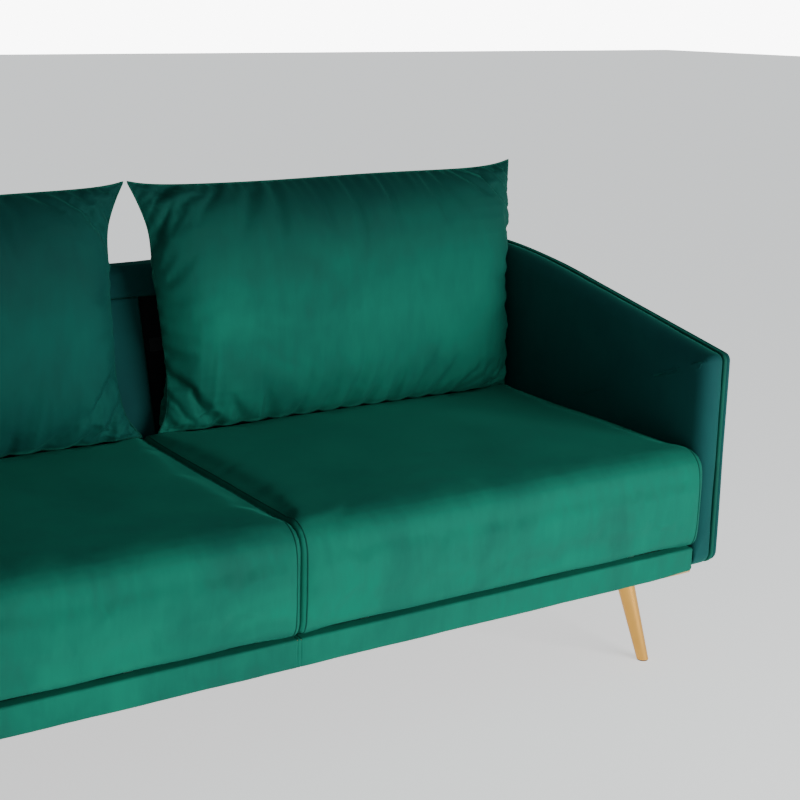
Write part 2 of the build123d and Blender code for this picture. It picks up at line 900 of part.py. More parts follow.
os.makedirs("parts", exist_ok=True)
build_base()
build_legs()
build_arms()
build_back()
build_cushions()
print(len(parts_made), "nodes")
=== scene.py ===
# %% [markdown]
# A velvet sofa, dressed around its working model. The frame, boards, legs, springs and bolts already exist
# as exact solids. What this lesson makes is what a sofa maker's upholsterer makes: the velvet covers over
# the rail, arms and back, the box seat cushions, the knife-edge back cushions, and the cloths underneath.
# Everything is in metres, in the frame of the working model, so no piece is fitted by eye afterwards.

# %% Load the working model
import bmesh
import bpy
import json
import math
import numpy as np
from mathutils import Matrix, Vector, noise
from mathutils.bvhtree import BVHTree


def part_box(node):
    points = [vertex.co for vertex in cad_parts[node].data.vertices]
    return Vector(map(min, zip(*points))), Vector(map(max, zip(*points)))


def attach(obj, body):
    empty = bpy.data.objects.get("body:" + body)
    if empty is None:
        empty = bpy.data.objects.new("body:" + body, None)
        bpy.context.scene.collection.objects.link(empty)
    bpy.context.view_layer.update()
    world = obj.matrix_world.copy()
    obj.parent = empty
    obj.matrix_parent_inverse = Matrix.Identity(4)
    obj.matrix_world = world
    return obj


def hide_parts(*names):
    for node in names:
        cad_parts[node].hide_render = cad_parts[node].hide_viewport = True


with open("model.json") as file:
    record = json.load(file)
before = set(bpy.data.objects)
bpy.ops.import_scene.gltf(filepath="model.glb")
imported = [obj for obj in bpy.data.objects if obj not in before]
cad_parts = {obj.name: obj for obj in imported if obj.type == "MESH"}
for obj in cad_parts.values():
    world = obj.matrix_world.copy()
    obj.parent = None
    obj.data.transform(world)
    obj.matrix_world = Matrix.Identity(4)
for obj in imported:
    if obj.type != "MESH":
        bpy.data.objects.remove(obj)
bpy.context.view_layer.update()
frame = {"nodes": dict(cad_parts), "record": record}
nodes = frame["nodes"]
MM = 0.001

# %% [markdown]
# The sofa's main sizes come from the boxes of the nodes. Only a few that no box can give are repeated from
# the design: the lean of the back, the slope of the arms, and the radii of the rounded edges.

# %% Main sizes
rail_low, rail_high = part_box("front_rail_cover")
seat_low, seat_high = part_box("seat_cushion_cover_right")
arm_low, arm_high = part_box("arm_inner_cover_right")
welt_low, welt_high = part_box("arm_welt_right")
arm_out_low, arm_out_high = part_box("arm_outer_cover_right")
back_low, back_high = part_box("back_top_cover")
sofa_front = seat_low[1]
sofa_rear = arm_high[1]
seat_top = seat_high[2]
arm_face = arm_low[0]
back_height = arm_high[2]
BACK_LEAN = math.radians(16)
BACK_THICKNESS = 64 * MM
EDGE_RADIUS = 18 * MM
ARM_SLOPE = math.radians(11.9)
ARM_STRAIGHT = 435 * MM
ARM_FRONT_HEIGHT = 590 * MM
ARM_CORNER = 16 * MM
ARM_FOOT_CORNER = 25 * MM
print("seat top", round(seat_top, 4), "arm face", round(arm_face, 4))


def back_y(z, depth=0.0):
    """Y of the leaning back at height z, at a depth behind its front face."""
    tangent = back_height - EDGE_RADIUS * (1 + math.sin(BACK_LEAN))
    face = sofa_rear - EDGE_RADIUS * (1 - math.cos(BACK_LEAN)) - (tangent - z) * math.tan(BACK_LEAN)
    return face - (BACK_THICKNESS - depth) / math.cos(BACK_LEAN)


# %% [markdown]
# Two small helpers carry most of the work. One turns a written colour into the linear numbers that shaders
# use. The other adds a shader node with its settings and links in one call, so a material reads as a recipe.

# %% Helpers for colours and shader nodes
def hex_colour(text):
    """An sRGB colour written in hex, as the linear numbers that shaders use."""
    values = [int(text[i:i + 2], 16) / 255 for i in (0, 2, 4)]
    linear = [v / 12.92 if v <= 0.04045 else ((v + 0.055) / 1.055) ** 2.4 for v in values]
    return linear + [1.0]


def add_node(tree, kind, inputs=None, **settings):
    """Adds a node. An input is a plain value, or the output that it is linked to."""
    node = tree.nodes.new(kind)
    for key, value in settings.items():
        setattr(node, key, value)
    for key, value in (inputs or {}).items():
        socket = node.inputs[key]
        if isinstance(value, bpy.types.NodeSocket):
            tree.links.new(value, socket)
        else:
            socket.default_value = value
    return node


def new_material(name):
    """A material, its nodes, its shader, and each point's place on the piece."""
    material = bpy.data.materials.new(name)
    material.use_nodes = True
    tree = material.node_tree
    shader = tree.nodes["Principled BSDF"]
    place = add_node(tree, "ShaderNodeTexCoord").outputs["Object"]
    return material, tree, shader, place


def link(tree, output, shader, socket):
    tree.links.new(output, shader.inputs[socket])


def darker(text, share):
    """A written colour with its three linear numbers multiplied; more than 1 makes it paler."""
    return [c * share for c in hex_colour(text)[:3]] + [1]


print("a green as linear numbers", [round(c, 3) for c in hex_colour("137E64")])

# %% [markdown]
# Velvet is a cut-pile cloth: short upright fibres on a woven ground. It looks dark where the eye looks into
# the pile and pale where it looks across the tips, and hands leave brushed patches where the pile leans
# another way. So the colour mixes a deep and a lit green by large soft patches, and a painted sheen turns it
# towards an edge-on colour by the angle of view; a fine bump gives the pile, and the shader's sheen brightens
# the edges. Fibre tips are about 0.1 mm apart, too fine to show, so the grain is drawn near 1 mm. Darker
# copies of the velvet paint the shade on the arms, the back and the back cushions.

# %% Velvet
# Height in metres at which the painted shade at the top of the back cushions is full.
TOP_OF_PAINTED_SHADE = 0.88
# Painted shade: the dark green that the back cushions darken to towards their top, where their upper faces turn
# from the light.
PAINTED_SHADE_GREEN = "04302E"
NAP_LOW, NAP_HIGH = 0.3, 1.1


def velvet_material(name, deep, lit, painted_sheen_colour, painted_top_shade=None):
    """deep and lit are the two leans of the pile, painted_sheen_colour the painted sheen colour it turns to
    where seen edge-on. painted_top_shade is the height where a painted shade starts and how far it darkens the
    cloth."""
    material, tree, shader, place = new_material(name)
    # Brushed patches about 200 mm across, and strokes about 25 mm wide and 90 mm tall.
    patches = add_node(tree, "ShaderNodeTexNoise",
                       {"Vector": place, "Scale": 5.0, "Detail": 3.0, "Roughness": 0.5, "Distortion": 0.7})
    drawn_out = add_node(tree, "ShaderNodeMapping",
                         {"Vector": place, "Scale": (42, 42, 11), "Rotation": (0.1, 0.2, 0.3)})
    strokes = add_node(tree, "ShaderNodeTexNoise",
                       {"Vector": drawn_out.outputs[0], "Scale": 1.0, "Detail": 4.0, "Roughness": 0.6,
                        "Distortion": 0.4})
    faint = add_node(tree, "ShaderNodeMath", {0: strokes.outputs[0], 1: 0.4}, operation="MULTIPLY")
    nap = add_node(tree, "ShaderNodeMath", {0: patches.outputs[0], 1: faint.outputs[0]}, operation="ADD")
    lean = add_node(tree, "ShaderNodeMapRange",
                    {"Value": nap.outputs[0], "From Min": NAP_LOW, "From Max": NAP_HIGH, "To Min": 0.0,
                     "To Max": 1.0})
    ground = add_node(tree, "ShaderNodeMix", {0: lean.outputs[0], 6: hex_colour(deep), 7: hex_colour(lit)},
                      data_type="RGBA")
    # Painted sheen: by the angle of view the colour turns towards the edge-on colour, darker than the lit green
    # on most of the velvets.
    facing = add_node(tree, "ShaderNodeLayerWeight", {"Blend": 0.42})
    painted_sheen_share = add_node(tree, "ShaderNodeMath", {0: facing.outputs["Facing"], 1: 1.6}, operation="POWER")
    colour = add_node(tree, "ShaderNodeMix",
                      {0: painted_sheen_share.outputs[0], 6: ground.outputs[2], 7: hex_colour(painted_sheen_colour)}, data_type="RGBA")
    # Painted shade: above a height the colour darkens towards a dark green, as the upper faces turn from the
    # light.
    if painted_top_shade:
        foot, share = painted_top_shade
        height = add_node(tree, "ShaderNodeSeparateXYZ", {0: place})
        top_shade_share = add_node(tree, "ShaderNodeMapRange",
                        {"Value": height.outputs[2], "From Min": foot, "From Max": TOP_OF_PAINTED_SHADE,
                         "To Min": 0.0, "To Max": share})
        colour = add_node(tree, "ShaderNodeMix",
                          {0: top_shade_share.outputs[0], 6: colour.outputs[2], 7: hex_colour(PAINTED_SHADE_GREEN)},
                          data_type="RGBA")
    link(tree, colour.outputs[2], shader, "Base Color")
    # The pile's grain, about 1 mm, and under it the slow rise and fall of the brushed patches.
    pile = add_node(tree, "ShaderNodeTexNoise",
                    {"Vector": place, "Scale": 900.0, "Detail": 2.0, "Roughness": 0.7})
    pile_bump = add_node(tree, "ShaderNodeBump",
                         {"Strength": 0.35, "Distance": 0.6 * MM, "Height": pile.outputs[0]})
    lean_bump = add_node(tree, "ShaderNodeBump",
                         {"Strength": 0.25, "Distance": 1.5 * MM, "Height": nap.outputs[0],
                          "Normal": pile_bump.outputs[0]})
    link(tree, lean_bump.outputs[0], shader, "Normal")
    rough = add_node(tree, "ShaderNodeMapRange",
                     {"Value": nap.outputs[0], "From Min": NAP_LOW, "From Max": NAP_HIGH, "To Min": 0.72,
                      "To Max": 0.92})
    link(tree, rough.outputs[0], shader, "Roughness")
    shader.inputs["Specular IOR Level"].default_value = 0.12
    shader.inputs["Sheen Weight"].default_value = 0.32
    shader.inputs["Sheen Roughness"].default_value = 0.38
    shader.inputs["Sheen Tint"].default_value = hex_colour("38D9B4")
    return material


# The seat cushions and the front rail take the plain velvet green.
velvet = velvet_material("cut_pile_velvet", "0A5246", "137E64", "083F38")
# Painted shade: the back cushions darken towards the top, and the left one is a darker copy all over, as the
# key light reaches it less.
top_shaded_velvet = velvet_material("cut_pile_velvet_brushed", "0B564A", "148068", "083F38", (0.62, 0.85))
left_shaded_velvet = velvet_material("cut_pile_velvet_brushed_far", "084540", "106759", "07383A", (0.60, 0.75))
# Painted shade: a darker copy of the velvet for the arms and the back, which stand out of the key light.
painted_shade_velvet = velvet_material("cut_pile_velvet_against_the_nap", "0D3E40", "11524E", "0A403C")
# A folded edge shows the ground of the cloth, duller than its pile.
seam_velvet = velvet_material("cut_pile_velvet_seam", "073B33", "0D5A49", "0B5044")
print("velvet", len(velvet.node_tree.nodes), "nodes")

# %% [markdown]
# Every sewn shape here is a loft: a run of loops joined by quads. One helper joins loops into a mesh, another
# adds a little wandering unevenness, because stuffed cloth is never as true as machined metal.

# %% Helpers for meshes
def mesh_object(name, points, faces, material):
    """A smooth-shaded piece, with its faces turned outwards."""
    mesh = bpy.data.meshes.new(name)
    mesh.from_pydata([tuple(p) for p in points], [], faces)
    mesh.validate()
    work = bmesh.new()
    work.from_mesh(mesh)
    bmesh.ops.recalc_face_normals(work, faces=work.faces)
    work.to_mesh(mesh)
    work.free()
    for face in mesh.polygons:
        face.use_smooth = True
    piece = bpy.data.objects.new(name, mesh)
    bpy.context.scene.collection.objects.link(piece)
    mesh.materials.append(material)
    return piece


def loft(loops, ring=False):
    """Points and faces through closed loops of equal length; ring joins the last to the first."""
    count = len(loops[0])
    points = np.concatenate(loops)
    faces = []
    for row in range(len(loops) if ring else len(loops) - 1):
        here = row * count
        there = (row + 1) % len(loops) * count
        for i in range(count):
            j = (i + 1) % count
            faces.append((here + i, here + j, there + j, there + i))
    if not ring:
        for row, order in ((0, -1), (len(loops) - 1, 1)):
            centre = len(points)
            points = np.vstack([points, loops[row].mean(axis=0)])
            for i in range(count):
                edge = (row * count + i, row * count + (i + 1) % count)
                faces.append((*edge[::order], centre))
    return points, faces


def wander(points, size, height, seed):
    """A smooth random height at each point, for soft unevenness of a given size."""
    shift = Vector((seed * 3.1, seed * 1.7, seed * 2.3))
    return np.array([noise.noise(Vector(p) / size + shift) for p in points]) * height


def ruffle(piece, size, height, seed):
    """Moves a finished piece's points along their normals by a smooth random height."""
    mesh = piece.data
    count = len(mesh.vertices)
    points = np.zeros(count * 3)
    normals = np.zeros(count * 3)
    mesh.vertices.foreach_get("co", points)
    mesh.vertices.foreach_get("normal", normals)
    points = points.reshape(-1, 3)
    moved = points + normals.reshape(-1, 3) * wander(points, size, height, seed)[:, None]
    mesh.vertices.foreach_set("co", moved.ravel())
    mesh.update()


def flipped(piece, name):
    """A mirror image on the sofa's left, with its faces turned the right way out again."""
    mesh = piece.data.copy()
    mesh.name = name
    mesh.transform(Matrix.Diagonal((-1, 1, 1, 1)))
    mesh.flip_normals()
    twin = bpy.data.objects.new(name, mesh)
    bpy.context.scene.collection.objects.link(twin)
    return twin


def settle(piece, body, replaced=()):
    """Lets a piece ride on a body and stand for its plain solids."""
    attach(piece, body)
    if replaced:
        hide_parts(*replaced)


def ease(value):
    """A smooth step from 0 to 1."""
    value = np.clip(value, 0.0, 1.0)
    return value * value * (3 - 2 * value)


# %% [markdown]
# The front rail is a board wrapped in velvet. Two rows of twin seam cross it at the middle, where two widths
# of cloth are joined. A rounded box carries the wrap: its loops run round the rail, and they draw in at each
# end to round the corners. The lower edge lifts a little towards each end, as cloth pulled round a corner does.

# %% Front rail cover
RAIL_CORNER = 7 * MM
RAIL_LIFT = 5 * MM
TWIN_SEAM = 7 * MM
SEAM_GROOVE = 1.3 * MM
SEAM_WIDTH = 0.9 * MM
RAIL_SECTION_CORNER = 4 * MM
LIFT_START, LIFT_RUN = 0.76, 0.12


def rounded_rectangle(low, high, radius, steps=5):
    """Points round a rectangle in two directions, with quarter-round corners."""
    corners = ((high[0] - radius, high[1] - radius, 0), (low[0] + radius, high[1] - radius, 1),
               (low[0] + radius, low[1] + radius, 2), (high[0] - radius, low[1] + radius, 3))
    outline = []
    for a, b, quarter in corners:
        for k in range(steps + 1):
            turn = math.pi / 2 * (quarter + k / steps)
            outline.append((a + radius * math.cos(turn), b + radius * math.sin(turn)))
    return np.array(outline)


def refine(outline, longest):
    """More points along the long sides of a closed outline."""
    fine = []
    for here, there in zip(outline, np.roll(outline, -1, axis=0)):
        parts = max(1, math.ceil(np.linalg.norm(there - here) / longest))
        fine.extend(here + (there - here) * k / parts for k in range(parts))
    return np.array(fine)


def rail_cover():
    half = rail_high[0]
    spread = np.concatenate([np.arange(0, half - RAIL_CORNER, 8 * MM), [half - RAIL_CORNER]])
    fine = np.concatenate([np.arange(-3, 3.1, 0.6) * MM + s * TWIN_SEAM / 2 for s in (-1, 1)])
    ends = half - RAIL_CORNER + RAIL_CORNER * np.sin(np.linspace(0, math.pi / 2, 7)[1:])
    stations = np.unique(np.round(np.concatenate([spread, -spread, fine, ends, -ends]), 6))
    outline = rounded_rectangle((rail_low[1], rail_low[2]), (rail_high[1], rail_high[2]), RAIL_SECTION_CORNER)
    section = refine(outline, 5 * MM)
    middle = np.array([(rail_low[1] + rail_high[1]) / 2, (rail_low[2] + rail_high[2]) / 2])
    loops = []
    for x in stations:
        over = max(0.0, abs(x) - (half - RAIL_CORNER))
        inset = RAIL_CORNER - math.sqrt(max(0.0, RAIL_CORNER ** 2 - over ** 2))
        shape = section.copy()
        reach = np.abs(shape - middle)
        shape -= np.sign(shape - middle) * inset * (reach > reach.max(axis=0) * 0.8)
        seam = sum(math.exp(-((x - s * TWIN_SEAM / 2) / SEAM_WIDTH) ** 2) for s in (-1, 1))
        shape -= (shape - middle) / np.linalg.norm(shape - middle, axis=1)[:, None] * seam * SEAM_GROOVE
        low_share = (rail_high[2] - shape[:, 1]) / (rail_high[2] - rail_low[2])
        shape[:, 1] += RAIL_LIFT * ease((abs(x) - LIFT_START) / LIFT_RUN) * low_share
        loops.append(np.column_stack([np.full(len(shape), x), shape]))
    piece = mesh_object("front_rail_velvet", *loft(loops), velvet)
    ruffle(piece, 90 * MM, 1.0 * MM, 1)
    ruffle(piece, 22 * MM, 0.3 * MM, 2)
    return piece


rail_piece = rail_cover()
settle(rail_piece, "root", ["front_rail_cover"])
print("rail cover", len(rail_piece.data.vertices), "points")

# %% [markdown]
# Each arm is three sewn parts side by side: a thick padded roll on the inside, a flat welt that stands in a
# groove, and a thin outer panel. All three follow one outline: an upright front, a long sloping top that levels
# off, and a rear edge that leans with the back. The outline is made once, as lines and arcs, and each part is
# a small section swept round it, so the three stay true to each other.

# %% Arm outline
def arc(centre, radius, start, end, steps):
    """Points on an arc between two angles in degrees."""
    turns = np.radians(np.linspace(start, end, steps + 1))
    return [(centre[0] + radius * math.cos(t), centre[1] + radius * math.sin(t)) for t in turns]


def corner_arc(before, corner, after, radius, steps=10):
    """A round corner between two straight edges."""
    corner = np.array(corner)
    a = (np.array(before) - corner) / np.linalg.norm(np.array(before) - corner)
    b = (np.array(after) - corner) / np.linalg.norm(np.array(after) - corner)
    half = math.acos(float(np.clip(a @ b, -1, 1))) / 2
    middle = corner + (a + b) / np.linalg.norm(a + b) * radius / math.sin(half)
    first = corner + a * radius / math.tan(half) - middle
    last = corner + b * radius / math.tan(half) - middle
    start = math.degrees(math.atan2(first[1], first[0]))
    sweep = (math.degrees(math.atan2(last[1], last[0])) - start + 180) % 360 - 180
    return arc(middle, radius, start, start + sweep, steps)


def arm_outline():
    """The arm seen from the side: toe, upright front, long slope, crest and leaning rear."""
    front = arm_low[1]
    bottom = arm_low[2]
    start = (front, ARM_FRONT_HEIGHT)
    bend = (front + ARM_STRAIGHT, ARM_FRONT_HEIGHT + ARM_STRAIGHT * math.tan(ARM_SLOPE))
    crest = (sofa_rear - EDGE_RADIUS, back_height)
    foot = (back_y(bottom, BACK_THICKNESS), bottom)
    toe = (front, bottom)
    lean = math.degrees(BACK_LEAN)
    outline = corner_arc(foot, toe, start, ARM_FOOT_CORNER)
    outline += corner_arc(toe, start, bend, ARM_CORNER)
    rise = np.linspace(0, 1, 40)
    run = crest[0] - bend[0]
    climb = crest[1] - bend[1]
    easing = math.tan(ARM_SLOPE) * run - climb
    outline += [(bend[0] + run * t, bend[1] + math.tan(ARM_SLOPE) * run * t - easing * t * t) for t in rise]
    outline += arc((crest[0], crest[1] - EDGE_RADIUS), EDGE_RADIUS, 90, -lean, 10)[1:]
    outline += corner_arc(crest, foot, toe, ARM_FOOT_CORNER)
    return np.array(outline)


def resample(outline, spacing, focus=None):
    """Evenly spaced points round a closed outline, denser close to a chosen place."""
    closed = np.vstack([outline, outline[:1]])
    steps = np.linalg.norm(np.diff(closed, axis=0), axis=1)
    along = np.concatenate([[0], np.cumsum(steps)])
    places = np.arange(0, along[-1], spacing)
    if focus is not None:
        nearest = along[np.argmin(np.linalg.norm(closed - np.array(focus), axis=1))]
        near = nearest + np.arange(-10, 10.1, 0.7) * MM
        far = places[np.abs(places - nearest) > 10.3 * MM]
        places = np.unique(np.concatenate([far, near % along[-1]]))
    return np.column_stack([np.interp(places, along, closed[:, k]) for k in (0, 1)])


def outward(outline):
    """Outward normals of a closed outline that runs clockwise seen from +X."""
    edge = np.roll(outline, -1, axis=0) - np.roll(outline, 1, axis=0)
    edge /= np.linalg.norm(edge, axis=1)[:, None]
    normal = np.column_stack([-edge[:, 1], edge[:, 0]])
    if ((outline - outline.mean(axis=0)) * normal).sum() < 0:
        normal = -normal
    return normal


MITRE = (arm_low[1] + 2 * MM, ARM_FRONT_HEIGHT + 1 * MM)
arm_line = resample(arm_outline(), 4 * MM, MITRE)
arm_normals = outward(arm_line)
print("arm outline", len(arm_line), "points")

# %% [markdown]
# A section is a list of insets from the outline with the place across the arm. Swept round the outline it
# gives a tube with lips; the broad faces close towards the middle, where the padding crowns them slightly.
# The mitre seam at the top front corner of the inner roll is a narrow dip in the sweep.

# %% Arm covers
def quarter(inset, across, radius, steps):
    """A quarter round, from square to the outline until along it."""
    turns = np.radians(np.linspace(0, 90, steps + 1))
    return [(inset - radius * math.sin(t), across + radius * math.cos(t)) for t in turns]


MITRE_WIDTH = 1.5 * MM


def swept_loops(section, dip=0.0):
    """One loop round the arm for each point of a section; dip is the depth of the mitre seam."""
    far = np.linalg.norm(arm_line - np.array(MITRE), axis=1)
    loops = []
    for inset, across in section:
        depth = inset + dip * np.exp(-(far / MITRE_WIDTH) ** 2)
        shape = arm_line - arm_normals * depth[:, None]
        loops.append(np.column_stack([np.zeros(len(shape)) + across, shape]))
    return loops


def closing_loops(edge_loop, across, crown, steps=16):
    """Loops that draw in to the middle of a broad face, with a slight crown."""
    middle = np.array([edge_loop[:, 1].mean(), edge_loop[:, 2].mean()])
    loops = []
    for k in range(1, steps):
        share = 1 - k / steps
        shape = middle + (edge_loop[:, 1:] - middle) * share
        bulge = crown * (1 - share ** 4)
        loops.append(np.column_stack([np.full(len(shape), across + bulge), shape]))
    return loops


ARM_ROLL = 29 * MM
ARM_ROLL_TIGHT = 3 * MM
PROUD = 0.7 * MM
MITRE_DIP = 1.4 * MM


def arm_inner():
    """The inner roll: soft and wide at the front and top, drawn tight at the rear and the foot."""
    lip = welt_low[0] - 0.2 * MM
    section = [(12 * MM, lip), (8 * MM, lip)]
    section += quarter(7 * MM, lip - 7 * MM, 7 * MM, 7)
    section += [(-PROUD, lip - 10 * MM)]
    y, z = arm_line.T
    from_rear = np.array([back_y(height, BACK_THICKNESS) for height in z]) - y
    loose = ease((from_rear - 10 * MM) / (60 * MM)) * ease((z - arm_low[2] - 18 * MM) / (60 * MM))
    roll = ARM_ROLL_TIGHT + (ARM_ROLL - ARM_ROLL_TIGHT) * loose
    section += [((roll + PROUD) * (1 - math.sin(t)) - PROUD, arm_face + roll * (1 - math.cos(t)))
                for t in np.linspace(math.pi / 2, 0, 11)]
    loops = swept_loops(section, dip=MITRE_DIP)
    loops += closing_loops(loops[-1], arm_face, 0.0)
    piece = mesh_object("arm_inner_velvet_right", *loft(loops), painted_shade_velvet)
    ruffle(piece, 120 * MM, 1.1 * MM, 4)
    ruffle(piece, 30 * MM, 0.35 * MM, 5)
    return piece


def arm_outer():
    """The thin outer panel, with a lip in the groove and a softened outer edge."""
    lip = arm_out_low[0] + 0.2 * MM
    section = [(12 * MM, lip), (6 * MM, lip)]
    section += [(5 * MM - 4.5 * MM * math.sin(t), lip + 4.5 * MM - 4.5 * MM * math.cos(t))
                for t in np.linspace(0.2, math.pi / 2, 6)]
    edge = arm_out_high[0] - 5 * MM
    section += [(0.5 * MM + 5.5 * MM * (1 - math.cos(t)), edge + 5 * MM * math.sin(t))
                for t in np.linspace(0.1, math.pi / 2, 7)]
    loops = swept_loops(section)
    loops += closing_loops(loops[-1], arm_out_high[0], -0.6 * MM)
    piece = mesh_object("arm_outer_velvet_right", *loft(loops), painted_shade_velvet)
    ruffle(piece, 150 * MM, 0.8 * MM, 6)
    return piece


def arm_welt():
    """A flat welt: two rows of cloth folded over a cord, standing a little proud of the groove."""
    low, high = welt_low[0] + 0.5 * MM, welt_high[0] - 0.5 * MM
    middle = (low + high) / 2
    half = (high - low) / 2
    section = [(11 * MM, high), (3 * MM, high)]
    for t in np.linspace(0, math.pi, 9):
        stitch_line = 0.9 * MM * math.exp(-(math.cos(t) / 0.25) ** 2)
        section.append((2.2 * MM - 3.7 * MM * math.sin(t) ** 0.8 + stitch_line, middle + half * math.cos(t)))
    section += [(3 * MM, low), (11 * MM, low)]
    return mesh_object("arm_welt_velvet_right", *loft(swept_loops(section), ring=True), seam_velvet)


arm_pieces = {
    "arm_inner": (arm_inner(), ["arm_inner_cover", "arm_foam"]),
    "arm_outer": (arm_outer(), ["arm_outer_cover", "arm_outer_pad"]),
    "arm_welt": (arm_welt(), ["arm_welt"]),
}
for key, (piece, covered) in arm_pieces.items():
    twin = flipped(piece, piece.name.replace("right", "left"))
    for side, each in (("right", piece), ("left", twin)):
        settle(each, "root", [f"{node}_{side}" for node in covered])
    print(key, len(piece.data.vertices), "points")

# %% [markdown]
# The back leans by sixteen degrees, so its shapes are drawn as a height and a depth behind its front face, and
# back_y turns those into a place. The top rail is wrapped by one strip of padded velvet, rounded at both upper
# edges; three padded posts stand under it with rounded sides.

# %% Back covers
post_low, post_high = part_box("back_post_covers")
BACK_SEAM = 20 * MM
PAD_DEPTH = 12 * MM
POST_HALF = 43 * MM
END_POST = 48 * MM
TOP_ROUND = 19 * MM
STAND_PROUD = 0.8 * MM
back_side = back_high[0]


def leaning_points(points):
    """Rows of x, depth and height, turned into places."""
    return np.array([(x, back_y(z, depth), z) for x, depth, z in points])


def back_top():
    """The strip over the top rail, as a section of depths and heights drawn out along the back."""
    top, foot, rear = back_height + STAND_PROUD, back_low[2] + 0.3 * MM, BACK_THICKNESS + STAND_PROUD
    outline = [(30 * MM, foot), (3 * MM, foot), (-STAND_PROUD, back_low[2] + 4 * MM)]
    outline += [(-STAND_PROUD + TOP_ROUND * (1 - math.cos(t)), top - TOP_ROUND * (1 - math.sin(t)))
                for t in np.linspace(0, math.pi / 2, 9)]
    outline += [(rear - TOP_ROUND * (1 - math.cos(t)), top - TOP_ROUND * (1 - math.sin(t)))
                for t in np.linspace(math.pi / 2, 0, 9)]
    seam = back_height - BACK_SEAM + 1.0 * MM
    outline += [(rear, seam + 3 * MM), (BACK_THICKNESS - 1 * MM, seam), (40 * MM, seam)]
    outline = refine(np.array(outline), 7 * MM)
    middle = outline.mean(axis=0)
    loops = []
    for x in np.linspace(-back_side, back_side, 240):
        over = max(0.0, abs(x) - (back_side - 5 * MM)) / (5 * MM)
        shape = middle + (outline - middle) * (1 - 0.06 * (1 - math.sqrt(max(0.0, 1 - over ** 2))))
        loops.append(leaning_points([(x, depth, z) for depth, z in shape]))
    piece = mesh_object("back_top_velvet", *loft(loops), painted_shade_velvet)
    ruffle(piece, 110 * MM, 1.2 * MM, 11)
    ruffle(piece, 26 * MM, 0.35 * MM, 12)
    return piece


def back_posts():
    """Padded posts: rounded front edges, fuller in the middle than at the seams."""
    points, faces = [], []
    ends = (back_side - END_POST, back_side)
    for low, high in ((-ends[1], -ends[0]), (-POST_HALF, POST_HALF), ends):
        outline = rounded_rectangle((low + 0.2 * MM, -0.5 * MM), (high - 0.2 * MM, PAD_DEPTH), 6 * MM)
        section = refine(outline, 6 * MM)
        loops = []
        for z in np.linspace(post_low[2], post_high[2], 70):
            loops.append(leaning_points([(x, depth, z) for x, depth in section]))
        more, quads = loft(loops)
        faces.extend(tuple(i + len(points) for i in quad) for quad in quads)
        points.extend(more)
    piece = mesh_object("back_post_velvet", points, faces, painted_shade_velvet)
    ruffle(piece, 70 * MM, 0.7 * MM, 13)
    return piece


top_piece = back_top()
settle(top_piece, "root", ["back_top_cover", "back_pads"])
post_piece = back_posts()
settle(post_piece, "root", ["back_post_covers"])
print("back covers", len(top_piece.data.vertices), len(post_piece.data.vertices), "points")

# %% [markdown]
# Four cloths are flat sheets pulled over the frame: the velvet on the rear, the black lining behind the
# cushions, the deck over the springs, and the dust cover underneath. Each is a thin sheet with two faces.
# Cells of its grid are left out where the legs come through, and a shallow wave shows where it is pulled.
# One maker serves all four: it is given a place for every point of the sheet.

# %% Sheet maker
def spaced(low, high, step, extra=()):
    """Evenly spaced numbers between two limits that also pass through some given ones."""
    marks = sorted({low, high, *[e for e in extra if low < e < high]})
    values = [low]
    for here, there in zip(marks, marks[1:]):
        parts = max(1, round((there - here) / step))
        values.extend(here + (there - here) * k / parts for k in range(1, parts + 1))
    return values


def cloth_sheet(name, u_limits, v_limits, place, under, thickness, material, step=14 * MM, holes=()):
    """place gives a point of the upper face; under is the direction to the lower face."""
    us = spaced(*u_limits, step, [u for hole in holes for u in hole[:2]])
    vs = spaced(*v_limits, step, [v for hole in holes for v in hole[2:]])
    upper = [place(u, v) for v in vs for u in us]
    lower = [p + under * thickness for p in upper]
    count = len(us)
    shift = len(upper)
    faces = []
    edges = {}
    for j in range(len(vs) - 1):
        for i in range(count - 1):
            u, v = (us[i] + us[i + 1]) / 2, (vs[j] + vs[j + 1]) / 2
            if any(h[0] < u < h[1] and h[2] < v < h[3] for h in holes):
                continue
            quad = (j * count + i, j * count + i + 1, (j + 1) * count + i + 1, (j + 1) * count + i)
            faces.append(quad)
            faces.append(tuple(k + shift for k in quad[::-1]))
            for a, b in zip(quad, quad[1:] + quad[:1]):
                edges[(min(a, b), max(a, b))] = None if (min(a, b), max(a, b)) in edges else (a, b)
    faces += [(b, a, a + shift, b + shift) for a, b in filter(None, edges.values())]
    used = sorted({k for face in faces for k in face})
    renumber = {k: n for n, k in enumerate(used)}
    both = upper + lower
    points = [both[k] for k in used]
    faces = [tuple(renumber[k] for k in face) for face in faces]
    return mesh_object(name, points, faces, material)


print("sheet step", round(spaced(0.0, 1.0, 14 * MM)[1], 4))

# %% [markdown]
# The plain cloths are woven or felted, and matt. Crossing bands make their threads as a fine bump, drawn as
# coarse as it needs to show, and a cloudy noise stands for wear. The same recipe does for the webbing, the zip
# tape, and, much coarser, for foam and fibre.

# %% Plain cloths
# A wave texture of scale 1 has about this many bands in a metre.
WAVES_PER_UNIT = 3.2


